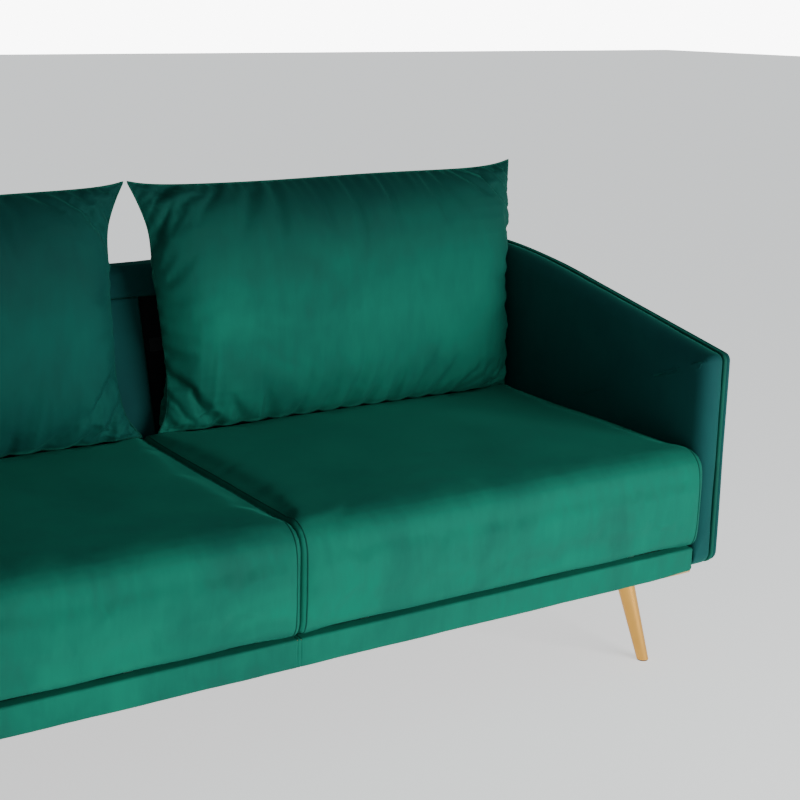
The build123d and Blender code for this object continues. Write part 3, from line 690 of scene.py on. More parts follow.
def fabric_material(name, colour, pitch, roughness):
    """A plain woven or felted cloth: threads as a fine crossing bump, with cloudy wear in its colour."""
    material, tree, shader, place = new_material(name)
    cloud = add_node(tree, "ShaderNodeTexNoise", {"Vector": place, "Scale": 5.0, "Detail": 4.0})
    tone = add_node(tree, "ShaderNodeMix", {0: cloud.outputs[0], 6: hex_colour(colour), 7: darker(colour, 1.7)},
                    data_type="RGBA")
    link(tree, tone.outputs[2], shader, "Base Color")
    threads = [add_node(tree, "ShaderNodeTexWave",
                        {"Vector": place, "Scale": 1 / pitch / WAVES_PER_UNIT, "Distortion": 0.6},
                        bands_direction=axis).outputs[1] for axis in ("X", "Y", "Z")]
    cross = add_node(tree, "ShaderNodeMath", {0: threads[0], 1: threads[1]}, operation="ADD").outputs[0]
    cross = add_node(tree, "ShaderNodeMath", {0: cross, 1: threads[2]}, operation="ADD").outputs[0]
    bump = add_node(tree, "ShaderNodeBump", {"Strength": 0.4, "Distance": 0.5 * MM, "Height": cross})
    link(tree, bump.outputs[0], shader, "Normal")
    shader.inputs["Roughness"].default_value = roughness
    shader.inputs["Specular IOR Level"].default_value = 0.25
    shader.inputs["Sheen Weight"].default_value = 0.15
    return material


# Black spunbond and lining cloths, matt, so that they read as shadow behind the cushions.
lining_cloth = fabric_material("black_lining_cloth", "08090A", 1.2 * MM, 0.85)
dust_cloth = fabric_material("black_spunbond_dust_cloth", "101113", 1.8 * MM, 0.9)
print("cloths", lining_cloth.name, dust_cloth.name)

# %% [markdown]
# The rear velvet and the lining lie on the leaning back, so their places are a distance along it and a height.
# The lining is two panels that meet behind the centre post.

# %% Rear velvet and lining
lining_low, lining_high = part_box("back_lining")
outer_low, outer_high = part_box("back_outer_cover")
into_back = Vector((0, math.cos(BACK_LEAN), -math.sin(BACK_LEAN)))
REAR_CLOTH = 1.7 * MM


def on_back(depth, bulge, seed):
    """Places on the leaning back, drawn in and out a little by the pull of the cloth."""
    def place(x, z):
        wave = noise.noise(Vector((x * 9, z * 5, seed))) * bulge
        return Vector((x, back_y(z, depth + wave), z))
    return place


rear_velvet = cloth_sheet("back_rear_velvet", (-outer_high[0], outer_high[0]), (outer_low[2], outer_high[2]),
                          on_back(BACK_THICKNESS - REAR_CLOTH, 0.6 * MM, 3.0), into_back, REAR_CLOTH,
                          painted_shade_velvet)
settle(rear_velvet, "root", ["back_outer_cover"])

for side, (low, high) in (("left", (lining_low[0], -0.3 * MM)), ("right", (0.3 * MM, lining_high[0]))):
    panel = cloth_sheet(f"back_lining_{side}", (low, high), (lining_low[2], lining_high[2]),
                        on_back(PAD_DEPTH + 0.35 * MM, 0.25 * MM, 5.0), into_back, 0.8 * MM, lining_cloth)
    settle(panel, "root", ["back_lining"])
print("rear velvet", len(rear_velvet.data.vertices), "points, lining panel", len(panel.data.vertices))

# %% [markdown]
# The deck and the dust cover are level, one on the springs and one under the base. The dust cover has a hole
# for each leg plate, found from where the legs pass through it, and its flat area leaves the holes out.

# %% Deck and dust cover
deck_low, deck_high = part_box("seat_deck_cloth")
dust_low, dust_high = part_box("dust_cover")
down = Vector((0, 0, -1))


def level(height, bulge, seed):
    """Places at one height, with a slight wave."""
    def place(x, y):
        return Vector((x, y, height + noise.noise(Vector((x * 11, y * 8, seed))) * bulge))
    return place


deck = cloth_sheet("seat_deck", (deck_low[0], deck_high[0]), (deck_low[1], deck_high[1]),
                   level(deck_high[2] - 0.25 * MM, 0.3 * MM, 7.0), down, 0.7 * MM, lining_cloth, 18 * MM)
settle(deck, "root", ["seat_deck_cloth"])

# Half the size of each hole, along and across the sofa.
PLATE = (35.5 * MM, 22 * MM)
plate_holes = []
for node in ("leg_front_left", "leg_front_right", "leg_rear_left", "leg_rear_right"):
    leg = nodes[node].data.vertices
    tops = [v.co for v in leg if v.co.z > dust_low[2] - 1 * MM]
    x, y = (sum(c[k] for c in tops) / len(tops) for k in (0, 1))
    plate_holes.append((x - PLATE[0], x + PLATE[0], y - PLATE[1], min(y + PLATE[1], dust_high[1])))
dust = cloth_sheet("dust_cover_cloth", (dust_low[0], dust_high[0]), (dust_low[1], dust_high[1]),
                   level(dust_high[2] - 0.1 * MM, 0.15 * MM, 9.0), down, 0.8 * MM, dust_cloth, 20 * MM,
                   plate_holes)
settle(dust, "root", ["dust_cover"])
print("deck", len(deck.data.vertices), "points, dust cover", len(dust.data.vertices), "points")

# %% [markdown]
# The cushions are blown up like real ones. A cloth simulation presses outwards from inside a copy of the
# filling, so the velvet swells between its seams and pulls into small folds near them. Afterwards every point
# is kept within the room it has: above the deck, in front of the back, beside the arm and its twin cushion.

# %% Cloth simulation
def drape(piece, frames, pressure, stiffness, bending, pinned=None, grow=0.0):
    """Runs the cloth on a piece and applies the result to its mesh."""
    cloth = piece.modifiers.new("Cloth", "CLOTH")
    setup = cloth.settings
    setup.quality = 5
    setup.mass = 0.3
    for name in ("tension_stiffness", "compression_stiffness"):
        setattr(setup, name, stiffness)
    setup.shear_stiffness = stiffness * 0.5
    setup.bending_stiffness = bending
    for name in ("tension_damping", "compression_damping", "shear_damping"):
        setattr(setup, name, 8.0)
    setup.bending_damping = 0.5
    setup.air_damping = 2.0
    setup.use_pressure = True
    setup.uniform_pressure_force = pressure
    setup.effector_weights.gravity = 0.0
    if grow:
        setup.shrink_min = -grow
        setup.shrink_max = -grow
    if pinned:
        setup.vertex_group_mass = pinned
    cloth.collision_settings.use_collision = False
    cloth.collision_settings.use_self_collision = False
    cloth.point_cache.frame_start = 1
    cloth.point_cache.frame_end = frames
    for moment in range(1, frames + 1):
        bpy.context.scene.frame_set(moment)
    shaped = bpy.data.meshes.new_from_object(piece.evaluated_get(bpy.context.evaluated_depsgraph_get()))
    piece.modifiers.clear()
    piece.data = shaped
    bpy.context.scene.frame_set(1)


def points_of(piece):
    """A piece's points, as rows of x, y and z."""
    points = np.zeros(len(piece.data.vertices) * 3)
    piece.data.vertices.foreach_get("co", points)
    return points.reshape(-1, 3)


def place_points(piece, points):
    piece.data.vertices.foreach_set("co", np.asarray(points, float).ravel())
    piece.data.update()


def apply_modifier(piece, kind, **settings):
    """Adds one modifier and puts its result in the piece's own mesh."""
    modifier = piece.modifiers.new(kind.title(), kind)
    for key, value in settings.items():
        setattr(modifier, key, value)
    shaped = bpy.data.meshes.new_from_object(piece.evaluated_get(bpy.context.evaluated_depsgraph_get()))
    piece.modifiers.clear()
    piece.data = shaped
    for face in piece.data.polygons:
        face.use_smooth = True


def tube(name, line, radius, material, sides=8):
    """A round piping along a closed line of points."""
    line = np.array(line, float)
    ahead = np.roll(line, -1, axis=0) - np.roll(line, 1, axis=0)
    ahead /= np.linalg.norm(ahead, axis=1)[:, None]
    side = np.cross(ahead[0], (0.3, 0.5, 0.8))
    loops = []
    for point, way in zip(line, ahead):
        side = side - way * (side @ way)
        side /= np.linalg.norm(side)
        other = np.cross(way, side)
        turns = np.linspace(0, 2 * math.pi, sides, endpoint=False)
        loops.append(point + radius * (np.cos(turns)[:, None] * side + np.sin(turns)[:, None] * other))
    return mesh_object(name, *loft(loops, ring=True), material)


print("cloth helpers ready")

# %% [markdown]
# The seat cushions are foam boxes in a sewn cover. Each starts as the foam block itself, remeshed fine and
# blown up a few millimetres. Its underside stays flat on the deck, its rear keeps the lean of the back, and
# its top is crowned, most in the middle, with a slight random unevenness.

# %% Seat cushions
SEAT_CROWN = 5 * MM
SEAT_SWELL = 5 * MM
ZIP_LEVEL = (seat_low[2] + seat_high[2]) / 2
SEAT_REAR_GAP = 8 * MM
SEAT_WIDEN = 1.014
# In front of the arm the cushion's corner bulges out past the arm's face.
PAST_ARM = 6 * MM


def seat_cushion(seed):
    """A right-hand seat cushion: the foam block, blown up by the cloth and crowned on top."""
    mesh = nodes["seat_cushion_foam_right"].data.copy()
    piece = bpy.data.objects.new("seat_cushion_velvet_right", mesh)
    bpy.context.scene.collection.objects.link(piece)
    mesh.materials.clear()
    apply_modifier(piece, "REMESH", mode="VOXEL", voxel_size=9 * MM)
    start = points_of(piece)
    start[:, 1] += wander(start, 90 * MM, 0.8 * MM, seed)
    start[:, 2] += wander(start, 150 * MM, 2.0 * MM, seed + 1)
    place_points(piece, start)
    drape(piece, frames=16, pressure=4.0, stiffness=15.0, bending=0.6, grow=0.012)
    moved = points_of(piece)
    shift = moved - start
    size = np.linalg.norm(shift, axis=1)[:, None]
    moved = start + shift / np.maximum(size, 1e-9) * (SEAT_SWELL * np.tanh(size / SEAT_SWELL))
    u = (moved[:, 0] - seat_low[0]) / (seat_high[0] - seat_low[0])
    v = (moved[:, 1] - seat_low[1]) / (seat_high[1] - seat_low[1])
    high = ease((moved[:, 2] - ZIP_LEVEL) / (seat_top - ZIP_LEVEL))
    crown = np.clip(4 * u * (1 - u), 0, 1) ** 0.6 * np.clip(4 * v * (1 - v), 0, 1) ** 0.5
    moved[:, 2] += high * (SEAT_CROWN * crown - 1 * MM)
    place_points(piece, moved)
    apply_modifier(piece, "SUBSURF", levels=1, render_levels=1)
    return piece


def keep_seat_room(points):
    """Keeps a seat cushion between its twin and the arm, on the deck and clear of the back."""
    past_arm = PAST_ARM * ease((arm_low[1] + 9 * MM - points[:, 1]) / (12 * MM))
    points[:, 0] = np.clip(points[:, 0], seat_low[0] + 0.2 * MM, seat_high[0] - 0.1 * MM + past_arm)
    points[:, 2] = np.maximum(points[:, 2], seat_low[2] + 0.2 * MM)
    limit = np.array([back_y(z, -SEAT_REAR_GAP) for z in points[:, 2]])
    points[:, 1] = np.clip(points[:, 1], sofa_front - 2 * MM, limit - 0.2 * MM)
    return points


seat_right = seat_cushion(21)
seat_twin = seat_cushion(31)
seat_left = flipped(seat_twin, "seat_cushion_velvet_left")
bpy.data.objects.remove(seat_twin)
for piece in (seat_right, seat_left):
    points = points_of(piece)
    side = 1 if piece is seat_right else -1
    points[:, 0] *= side
    centre = (seat_low[0] + seat_high[0]) / 2
    points[:, 0] = centre + (points[:, 0] - centre) * SEAT_WIDEN
    points = keep_seat_room(points)
    points[:, 0] *= side
    place_points(piece, points)
    piece.data.materials.append(velvet)
crown_top = points_of(seat_right)[:, 2].max()
print("seat cushions", len(seat_right.data.vertices), "points, top", round(crown_top, 4))

# %% [markdown]
# The back cushions are two panels sewn together all round. The seam is held on the outline of the finished
# cushion, and each panel is cut a little larger than it, so the pressure inside throws the cloth into a full
# belly with gathers along the seam. The outline has raised corners at the top and sides that pull in. It is
# drawn in millimetres on the plane of the cushion, which leans back on the seat.

# %% Back cushion outline
CUSHION_LEAN = math.radians(6)
CUSHION_SETBACK = 597 * MM
SEAM_FOOT = seat_top + 0.5 * MM
ALONG = Vector((1, 0, 0))
UP_LEAN = Vector((0, math.sin(CUSHION_LEAN), math.cos(CUSHION_LEAN)))
TO_FRONT = Vector((0, -math.cos(CUSHION_LEAN), math.sin(CUSHION_LEAN)))
FOOT = Vector((0, sofa_front + CUSHION_SETBACK, SEAM_FOOT))
# Millimetres on the cushion's plane: the outer seam at its foot and its top ear, and the level of the top seam.
OUTER_FOOT, OUTER_EAR, TOP_SEAM = 874, 900, 479
INNER_TOP, OUTER_TOP = 491.5, 495.5
SCALLOP = 5.5
# The inner side seams, as height share and distance from the middle: the two top ears touch each other.
RIGHT_INNER = [(0, 25), (0.08, 44), (0.18, 50), (0.42, 44), (0.66, 33), (0.82, 26), (0.93, 6), (1, -11)]
LEFT_INNER = [(0, 6), (0.07, 32), (0.2, 50), (0.42, 55), (0.66, 56), (0.85, 50), (0.94, 32), (1, 16)]


def smooth_table(value, table):
    """A smooth curve through a table of places and values."""
    places, values = (np.array(column, float) for column in zip(*table))
    slopes = np.gradient(values, places)
    k = int(np.clip(np.searchsorted(places, value) - 1, 0, len(places) - 2))
    width = places[k + 1] - places[k]
    t = (value - places[k]) / width
    return float((2 * t ** 3 - 3 * t ** 2 + 1) * values[k] + (t ** 3 - 2 * t ** 2 + t) * width * slopes[k]
                 + (3 * t ** 2 - 2 * t ** 3) * values[k + 1] + (t ** 3 - t ** 2) * width * slopes[k + 1])


def outline_sides(twist, inner):
    """The four sides of the seam, each from 0 to 1: along the bottom and top, and up the left and right."""

    def bottom(u):
        place = 14.5 * math.pi * u + twist + 0.5 * math.sin(5 * u + twist)
        scallop = SCALLOP * (1 - abs(math.sin(place))) * math.sin(math.pi * u) ** 0.5
        return inner[0][1] + (OUTER_FOOT - inner[0][1]) * u, scallop - 0.5

    def top(u):
        ears = 12 * math.exp(-u / 0.05) + 16 * math.exp(-(1 - u) / 0.055)
        sway = 2 * math.sin(7 * u + twist) * math.sin(math.pi * u)
        return inner[-1][1] + (OUTER_EAR - inner[-1][1]) * u, TOP_SEAM + ears + sway

    def left(v):
        return smooth_table(v, inner), -0.5 + INNER_TOP * v

    def right(v):
        pull_in = 4 * math.sin(math.pi * v)
        return OUTER_FOOT + (OUTER_EAR - OUTER_FOOT) * v ** 1.6 - pull_in, -0.5 + OUTER_TOP * v
    return bottom, top, left, right


def coons(sides, u, v):
    """A point inside the four sides."""
    bottom, top, left, right = (np.array(side(t)) for side, t in zip(sides, (u, u, v, v)))
    corners = [np.array(sides[k](t)) for k, t in ((0, 0), (0, 1), (1, 0), (1, 1))]
    across = (1 - v) * bottom + v * top + (1 - u) * left + u * right
    corner = ((1 - u) * (1 - v) * corners[0] + u * (1 - v) * corners[1]
              + (1 - u) * v * corners[2] + u * v * corners[3])
    return (across - corner) * MM


def on_cushion(across, up, front):
    return FOOT + ALONG * across + UP_LEAN * up + TO_FRONT * front


print("cushion foot", [round(v, 4) for v in FOOT], "height", TOP_SEAM, "mm")

# %% [markdown]
# The two panels share one grid, whose lines crowd together near the seam where the cloth gathers. The
# simulation holds the seam and blows both panels up.

# %% Back cushion panels
COLUMNS, ROWS = 100, 58
# The panels are cut this share larger than the outline, so that they gather.
GATHER = 0.06


def even(count):
    """Steps from 0 to 1 that are closer together near the ends."""
    steps = np.linspace(0, 1, count + 1)
    return steps - 0.07 * np.sin(2 * math.pi * steps)


def cushion_parts(points):
    """Each point's place on the cushion: along the seam, up it, and in front of it."""
    from_foot = points - np.array(FOOT)
    return [from_foot @ np.array(axis) for axis in (ALONG, UP_LEAN, TO_FRONT)]


def back_cushion(seed, sides, cloth):
    """Two panels on the four sides of a seam, blown up by the cloth simulation."""
    columns, rows = COLUMNS, ROWS
    us, vs = even(columns), even(rows)
    index, points, seam, faces = {}, [], [], []
    for layer in (1, -1):
        for j, v in enumerate(vs):
            for i, u in enumerate(us):
                edge = i in (0, columns) or j in (0, rows)
                key = (i, j, 0 if edge else layer)
                if key in index:
                    continue
                across, up = coons(sides, u, v)
                rim = min(1.0, 10 * min(u, 1 - u, v, 1 - v))
                rough = noise.noise(Vector((across * 14, up * 14, seed + layer))) * 5 * MM
                index[key] = len(points)
                points.append(on_cushion(across, up, 0 if edge else layer * rim * (18 * MM + rough)))
                if edge:
                    seam.append(index[key])
        for j in range(rows):
            for i in range(columns):
                quad = [index[(a, b, 0 if a in (0, columns) or b in (0, rows) else layer)]
                        for a, b in ((i, j), (i + 1, j), (i + 1, j + 1), (i, j + 1))]
                faces.append(quad[::layer])
    piece = mesh_object("back_cushion_velvet_right", points, faces, cloth)
    piece.vertex_groups.new(name="seam").add(seam, 1.0, "REPLACE")
    drape(piece, frames=22, pressure=30.0, stiffness=25.0, bending=0.3, pinned="seam", grow=GATHER)
    print("belly", round(max(np.abs(cushion_parts(points_of(piece))[2])), 4))
    piece.vertex_groups.clear()
    return piece


print("panel grid", COLUMNS, "by", ROWS)

# %% [markdown]
# After the simulation the belly is filled out towards the seams, as loose fibre does, and small folds are added
# that fan out from each seam. The folds are strongest along the bottom, where the cushion's weight presses.

# %% Back cushion gathers
FULL_BELLY = 78 * MM
PUFF = 1.9
# Where the seams lie, for the folds: the top one, and the two side ones.
TOP_EDGE, INNER_EDGE, OUTER_EDGE = 484 * MM, 28 * MM, 878 * MM
BOTTOM_FOLDS, TOP_FOLDS = 1.8, 0.45
FOLD_REACH = 0.22


def seam_gathers(along, away, seed):
    """Height of the small folds that fan out from a seam: fine ones that die away soon, and a few long ones."""
    fine = noise.noise(Vector((along / 0.013, away / 0.09, seed))) * math.exp(-away / 0.03) * 3.4 * MM
    wide = (1 - abs(noise.noise(Vector((along / 0.034, away / 0.22, seed + 7)))) * 3) * math.exp(-away / 0.075)
    return fine - max(0.0, wide) * 3.6 * MM * min(1.0, away / 0.012)


def plump(points, seed):
    """Fills a cushion out towards its seams, and gathers the velvet there."""
    across, up, front = cushion_parts(points)
    share = np.clip(np.abs(front) / FULL_BELLY, 0, 1)
    full = np.sign(front) * FULL_BELLY * (1 - (1 - share) ** PUFF)
    seams = ((up, across, BOTTOM_FOLDS), (TOP_EDGE - up, across, TOP_FOLDS), (across - INNER_EDGE, up, 1.0),
             (OUTER_EDGE - across, up, 1.0))
    for k in range(len(points)):
        if abs(front[k]) < 1 * MM:
            continue
        folds = 0.0
        for number, (away, along, strength) in enumerate(seams, 1):
            if away[k] < FOLD_REACH:
                folds += strength * seam_gathers(along[k], max(0.0, away[k]), seed + number * 11)
        full[k] += math.copysign(folds, full[k]) * min(1.0, abs(full[k]) / (14 * MM))
    return np.array([on_cushion(*p) for p in zip(across, up, full)])


print("full belly", FULL_BELLY, "m")

# %% [markdown]
# A cushion keeps within its room. Its rear lies on the back's plane and its foot on the crowned seat, which a
# ray finds from above. Above the arm and the back it may swell freely, and its inner ear leans to its twin.

# %% Back cushion room
# The rear's depth by the distance from the seam, both in millimetres.
REAR_BELLY = [(0, 0), (42, 54), (125, 90), (400, 90)]
EAR_RISE = 0.4
ARM_TOP, BACK_TOP = 0.735, 0.76


def keep_cushion_room(points, seat, ear):
    """Lays a cushion on its seat and the back, beside the arm and its twin, whose ears meet off the middle."""
    inner_limit = np.where(points[:, 2] > seat_top + EAR_RISE, ear, 2 * MM)
    across, up, front = cushion_parts(points)
    edge = np.minimum(np.minimum(across - 24 * MM, 876 * MM - across), up)
    full = np.interp(edge / MM, *zip(*REAR_BELLY)) * MM
    share = (front < -2 * MM) * (1 - ease((up - 45 * MM) / (60 * MM)))
    front = front + share * (-full - front)
    points = np.array([on_cushion(*p) for p in zip(across, up, front)])
    outer_limit = arm_face - 0.8 * MM + np.maximum(0, points[:, 2] - ARM_TOP) * 0.5
    points[:, 0] = np.clip(points[:, 0], inner_limit, outer_limit)
    behind = np.array([back_y(z, -1.2 * MM) for z in points[:, 2]])
    points[:, 1] = np.where(points[:, 2] < BACK_TOP, np.minimum(points[:, 1], behind), points[:, 1])
    for k, point in enumerate(points):
        if point[2] < seat_top + 12 * MM:
            hit = seat.ray_cast(Vector((point[0], point[1], 0.6)), Vector((0, 0, -1)))[0]
            points[k, 2] = max(point[2], (hit.z if hit else seat_top) + 0.8 * MM)
    return points


def finish_cushion(piece, seat, ear, seed):
    """Smooths, fills and gathers a cushion, and then lays it in its room."""
    tree = BVHTree.FromObject(seat, bpy.context.evaluated_depsgraph_get())
    apply_modifier(piece, "SUBSURF", levels=1, render_levels=1)
    place_points(piece, plump(points_of(piece), seed))
    place_points(piece, keep_cushion_room(points_of(piece), tree, ear))


print("rear belly", REAR_BELLY[-1][1], "mm")

# %% [markdown]
# Both cushions are made on the right-hand side, each with its own outline and seed, and the second is turned
# over to the left. A thin piping follows the seam, drawn in by a hair so that it sits in the cloth.

# %% Both back cushions
PIPING = 1.7 * MM
PIPING_DRAW_IN = 0.996
SEAM_MIDDLE = (450, 245)


def seam_line(sides, count=170):
    """The seam all round a cushion, as places."""
    bottom, top, left, right = sides
    steps = np.linspace(0, 1, count)
    line = [bottom(u) for u in steps[:-1]] + [right(v) for v in steps[:-1]]
    line += [top(u) for u in steps[:0:-1]] + [left(v) for v in steps[:0:-1]]
    middle = np.array(SEAM_MIDDLE)
    line = middle + (np.array(line) - middle) * PIPING_DRAW_IN
    return [on_cushion(a * MM, b * MM, 0) for a, b in line]


cushions = {}
seat_plain = flipped(seat_left, "seat_for_left")
for side, seed, seat, inner, ear, cloth in (("right", 3, seat_right, RIGHT_INNER, -11.5 * MM, top_shaded_velvet),
                                            ("left", 8, seat_plain, LEFT_INNER, 14 * MM, left_shaded_velvet)):
    sides = outline_sides(seed, inner)
    piece = back_cushion(seed, sides, cloth)
    finish_cushion(piece, seat, ear, seed)
    cord = tube("back_cushion_seam_right", seam_line(sides), PIPING, seam_velvet)
    if side == "left":
        parts = [flipped(piece, "back_cushion_velvet_left"), flipped(cord, "back_cushion_seam_left")]
        for original in (piece, cord):
            bpy.data.objects.remove(original)
    else:
        parts = [piece, cord]
    cushions[side] = parts
    low, high = points_of(parts[0]).min(axis=0), points_of(parts[0]).max(axis=0)
    print("back cushion", side, "from", low.round(3), "to", high.round(3))
bpy.data.objects.remove(seat_plain)

# %% [markdown]
# A box cushion has a seam round each end, where the end panel meets the cover. The seam is found by looking
# at the cushion from all round: rays in one upright slice find its skin, and a thin cord is laid there.

# %% Seat cushion seams
END_SEAM = 9 * MM
END_SEAM_PIPING = 1.3 * MM


def slice_line(piece, x, count=220):
    """Places on a piece's skin all round one upright slice."""
    tree = BVHTree.FromObject(piece, bpy.context.evaluated_depsgraph_get())
    middle = Vector((x, (seat_low[1] + seat_high[1]) / 2, ZIP_LEVEL))
    line = []
    for turn in np.linspace(0, 2 * math.pi, count, endpoint=False):
        way = Vector((0, math.cos(turn) * 3.2, math.sin(turn)))
        start = middle + way
        hit = tree.ray_cast(start, (middle - start).normalized())[0]
        if hit:
            line.append(hit)
    return line


for side, piece in (("right", seat_right), ("left", seat_left)):
    way = 1 if side == "right" else -1
    loops = []
    for x in (seat_low[0] + END_SEAM, seat_high[0] - END_SEAM):
        loops.append(tube("seam", slice_line(piece, way * x), END_SEAM_PIPING, seam_velvet))
    joined = bmesh.new()
    for loop in loops:
        joined.from_mesh(loop.data)
        bpy.data.objects.remove(loop)
    mesh = bpy.data.meshes.new(f"seat_cushion_seams_{side}")
    joined.to_mesh(mesh)
    joined.free()
    mesh.materials.append(seam_velvet)
    seams = bpy.data.objects.new(mesh.name, mesh)
    bpy.context.scene.collection.objects.link(seams)
    for face in mesh.polygons:
        face.use_smooth = True
    limits = points_of(seams)
    limits[:, 2] = np.maximum(limits[:, 2], seat_low[2] + 0.1 * MM)
    place_points(seams, limits)
    settle(piece, f"seat_cushion_{side}", [f"seat_cushion_cover_{side}", f"seat_cushion_foam_{side}"])
    settle(seams, f"seat_cushion_{side}")
    cushion, cord = cushions[side]
    settle(cushion, f"back_cushion_{side}", [f"back_cushion_cover_{side}", f"back_cushion_filling_{side}"])
    settle(cord, f"back_cushion_{side}")
print("seams done")

# %% [markdown]
# The parts that were exact from the start keep their shape and only get better materials. Metals come first:
# brushed lines and faint smears soften and bend their reflections, so no two patches of the metal look alike.

# %% Metals
def metal_material(name, colour, roughness, brushed):
    """A metal with fine polishing lines and smears about 55 mm across."""
    material, tree, shader, place = new_material(name)
    drawn = add_node(tree, "ShaderNodeMapping", {"Vector": place, "Scale": brushed})
    lines = add_node(tree, "ShaderNodeTexNoise", {"Vector": drawn.outputs[0], "Scale": 1.0, "Detail": 3.0})
    smears = add_node(tree, "ShaderNodeTexNoise",
                      {"Vector": place, "Scale": 18.0, "Detail": 5.0, "Distortion": 0.5})
    tone = add_node(tree, "ShaderNodeMix",
                    {0: smears.outputs[0], 6: hex_colour(colour), 7: darker(colour, 0.8)}, data_type="RGBA")
    link(tree, tone.outputs[2], shader, "Base Color")
    mixed = add_node(tree, "ShaderNodeMath", {0: lines.outputs[0], 1: smears.outputs[0]}, operation="ADD")
    rough = add_node(tree, "ShaderNodeMapRange",
                     {"Value": mixed.outputs[0], "From Min": 0.6, "From Max": 1.4, "To Min": roughness * 0.8,
                      "To Max": roughness * 1.3})
    link(tree, rough.outputs[0], shader, "Roughness")
    bump = add_node(tree, "ShaderNodeBump",
                    {"Strength": 0.12, "Distance": 0.3 * MM, "Height": lines.outputs[0]})
    link(tree, bump.outputs[0], shader, "Normal")
    shader.inputs["Metallic"].default_value = 1.0
    return material


finishes = {
    # Satin gold plating, brushed along the leg, with soft broken highlights.
    "gold_metal": metal_material("satin_gold_plate", "DFA650", 0.3, (160, 160, 9)),
    # Zinc plating: a pale, slightly cloudy grey on the bolts, plates and staples.
    "zinc_steel": metal_material("zinc_plated_steel", "A9ADB0", 0.38, (60, 60, 60)),
    # Drawn spring wire under a film of oil, dark and a little shinier.
    "spring_steel": metal_material("oiled_spring_steel", "4A4C50", 0.34, (40, 200, 200)),
    # Black paint over steel, half matt.
    "black_metal": metal_material("black_painted_steel", "1B1C1E", 0.5, (50, 50, 50)),
    # A bright nickel slider, the one small glint on a zip.
    "zip_metal": metal_material("nickel_zip_slider", "9A9C9E", 0.3, (300, 300, 300)),
}
print("metals", len(finishes))

# %% [markdown]
# Wood shows growth rings drawn out along the board and fine fibres between them. Plywood shows its layers at
# the edge instead, so only the stretch of the rings differs.

# %% Woods
BOARD_GRAIN = (1.2, 14, 14)
PLYWOOD_LAYERS = (110, 6, 6)


def wood_material(name, early, late, ring, grain):
    """Sawn wood: growth rings or plywood layers, with fibres about 4 mm apart, drawn coarse enough to show."""
    material, tree, shader, place = new_material(name)
    cut = add_node(tree, "ShaderNodeMapping", {"Vector": place, "Scale": grain})
    rings = add_node(tree, "ShaderNodeTexWave",
                     {"Vector": cut.outputs[0], "Scale": ring, "Distortion": 5.0, "Detail": 3.0})
    along = add_node(tree, "ShaderNodeMapping", {"Vector": place, "Scale": (12, 260, 260)})
    fibre = add_node(tree, "ShaderNodeTexNoise", {"Vector": along.outputs[0], "Scale": 1.0})
    ringed = add_node(tree, "ShaderNodeMix", {0: rings.outputs[0], 6: hex_colour(early), 7: hex_colour(late)},
                      data_type="RGBA")
    tone = add_node(tree, "ShaderNodeMix", {0: fibre.outputs[0], 6: ringed.outputs[2], 7: hex_colour(late)},
                    data_type="RGBA", blend_type="MULTIPLY")
    link(tree, tone.outputs[2], shader, "Base Color")
    bump = add_node(tree, "ShaderNodeBump", {"Strength": 0.3, "Distance": 0.6 * MM, "Height": fibre.outputs[0]})
    link(tree, bump.outputs[0], shader, "Normal")
    shader.inputs["Roughness"].default_value = 0.72
    return material


# Pale softwood with drawn-out growth rings, and birch plywood with its layers at the edge.
finishes["pine"] = wood_material("sawn_pine", "D9BD8C", "B8935C", 0.9, BOARD_GRAIN)
finishes["plywood"] = wood_material("birch_plywood", "D3B98F", "B79A6B", 0.8, PLYWOOD_LAYERS)
print("woods", finishes["pine"].name, finishes["plywood"].name)

# %% [markdown]
# Moulded plastic has a fine even grain from its mould and gathers a little dust. Its gloss is uneven by a few
# per cent, which is what keeps it from looking like paint.

# %% Plastics, and the whole list of finishes
def plastic_material(name, colour, roughness):
    """Moulded plastic with a grain under 1 mm and haze about 30 mm across."""
    material, tree, shader, place = new_material(name)
    grain = add_node(tree, "ShaderNodeTexNoise", {"Vector": place, "Scale": 1400.0, "Detail": 1.0})
    haze = add_node(tree, "ShaderNodeTexNoise", {"Vector": place, "Scale": 30.0, "Detail": 4.0})
    dusty = [c * 1.3 + 0.002 for c in hex_colour(colour)[:3]] + [1]
    tone = add_node(tree, "ShaderNodeMix", {0: haze.outputs[0], 6: hex_colour(colour), 7: dusty},
                    data_type="RGBA")
    link(tree, tone.outputs[2], shader, "Base Color")
    bump = add_node(tree, "ShaderNodeBump", {"Strength": 0.2, "Distance": 0.2 * MM, "Height": grain.outputs[0]})
    link(tree, bump.outputs[0], shader, "Normal")
    rough = add_node(tree, "ShaderNodeMapRange",
                     {"Value": haze.outputs[0], "To Min": roughness * 0.85, "To Max": roughness * 1.15})
    link(tree, rough.outputs[0], shader, "Roughness")
    return material


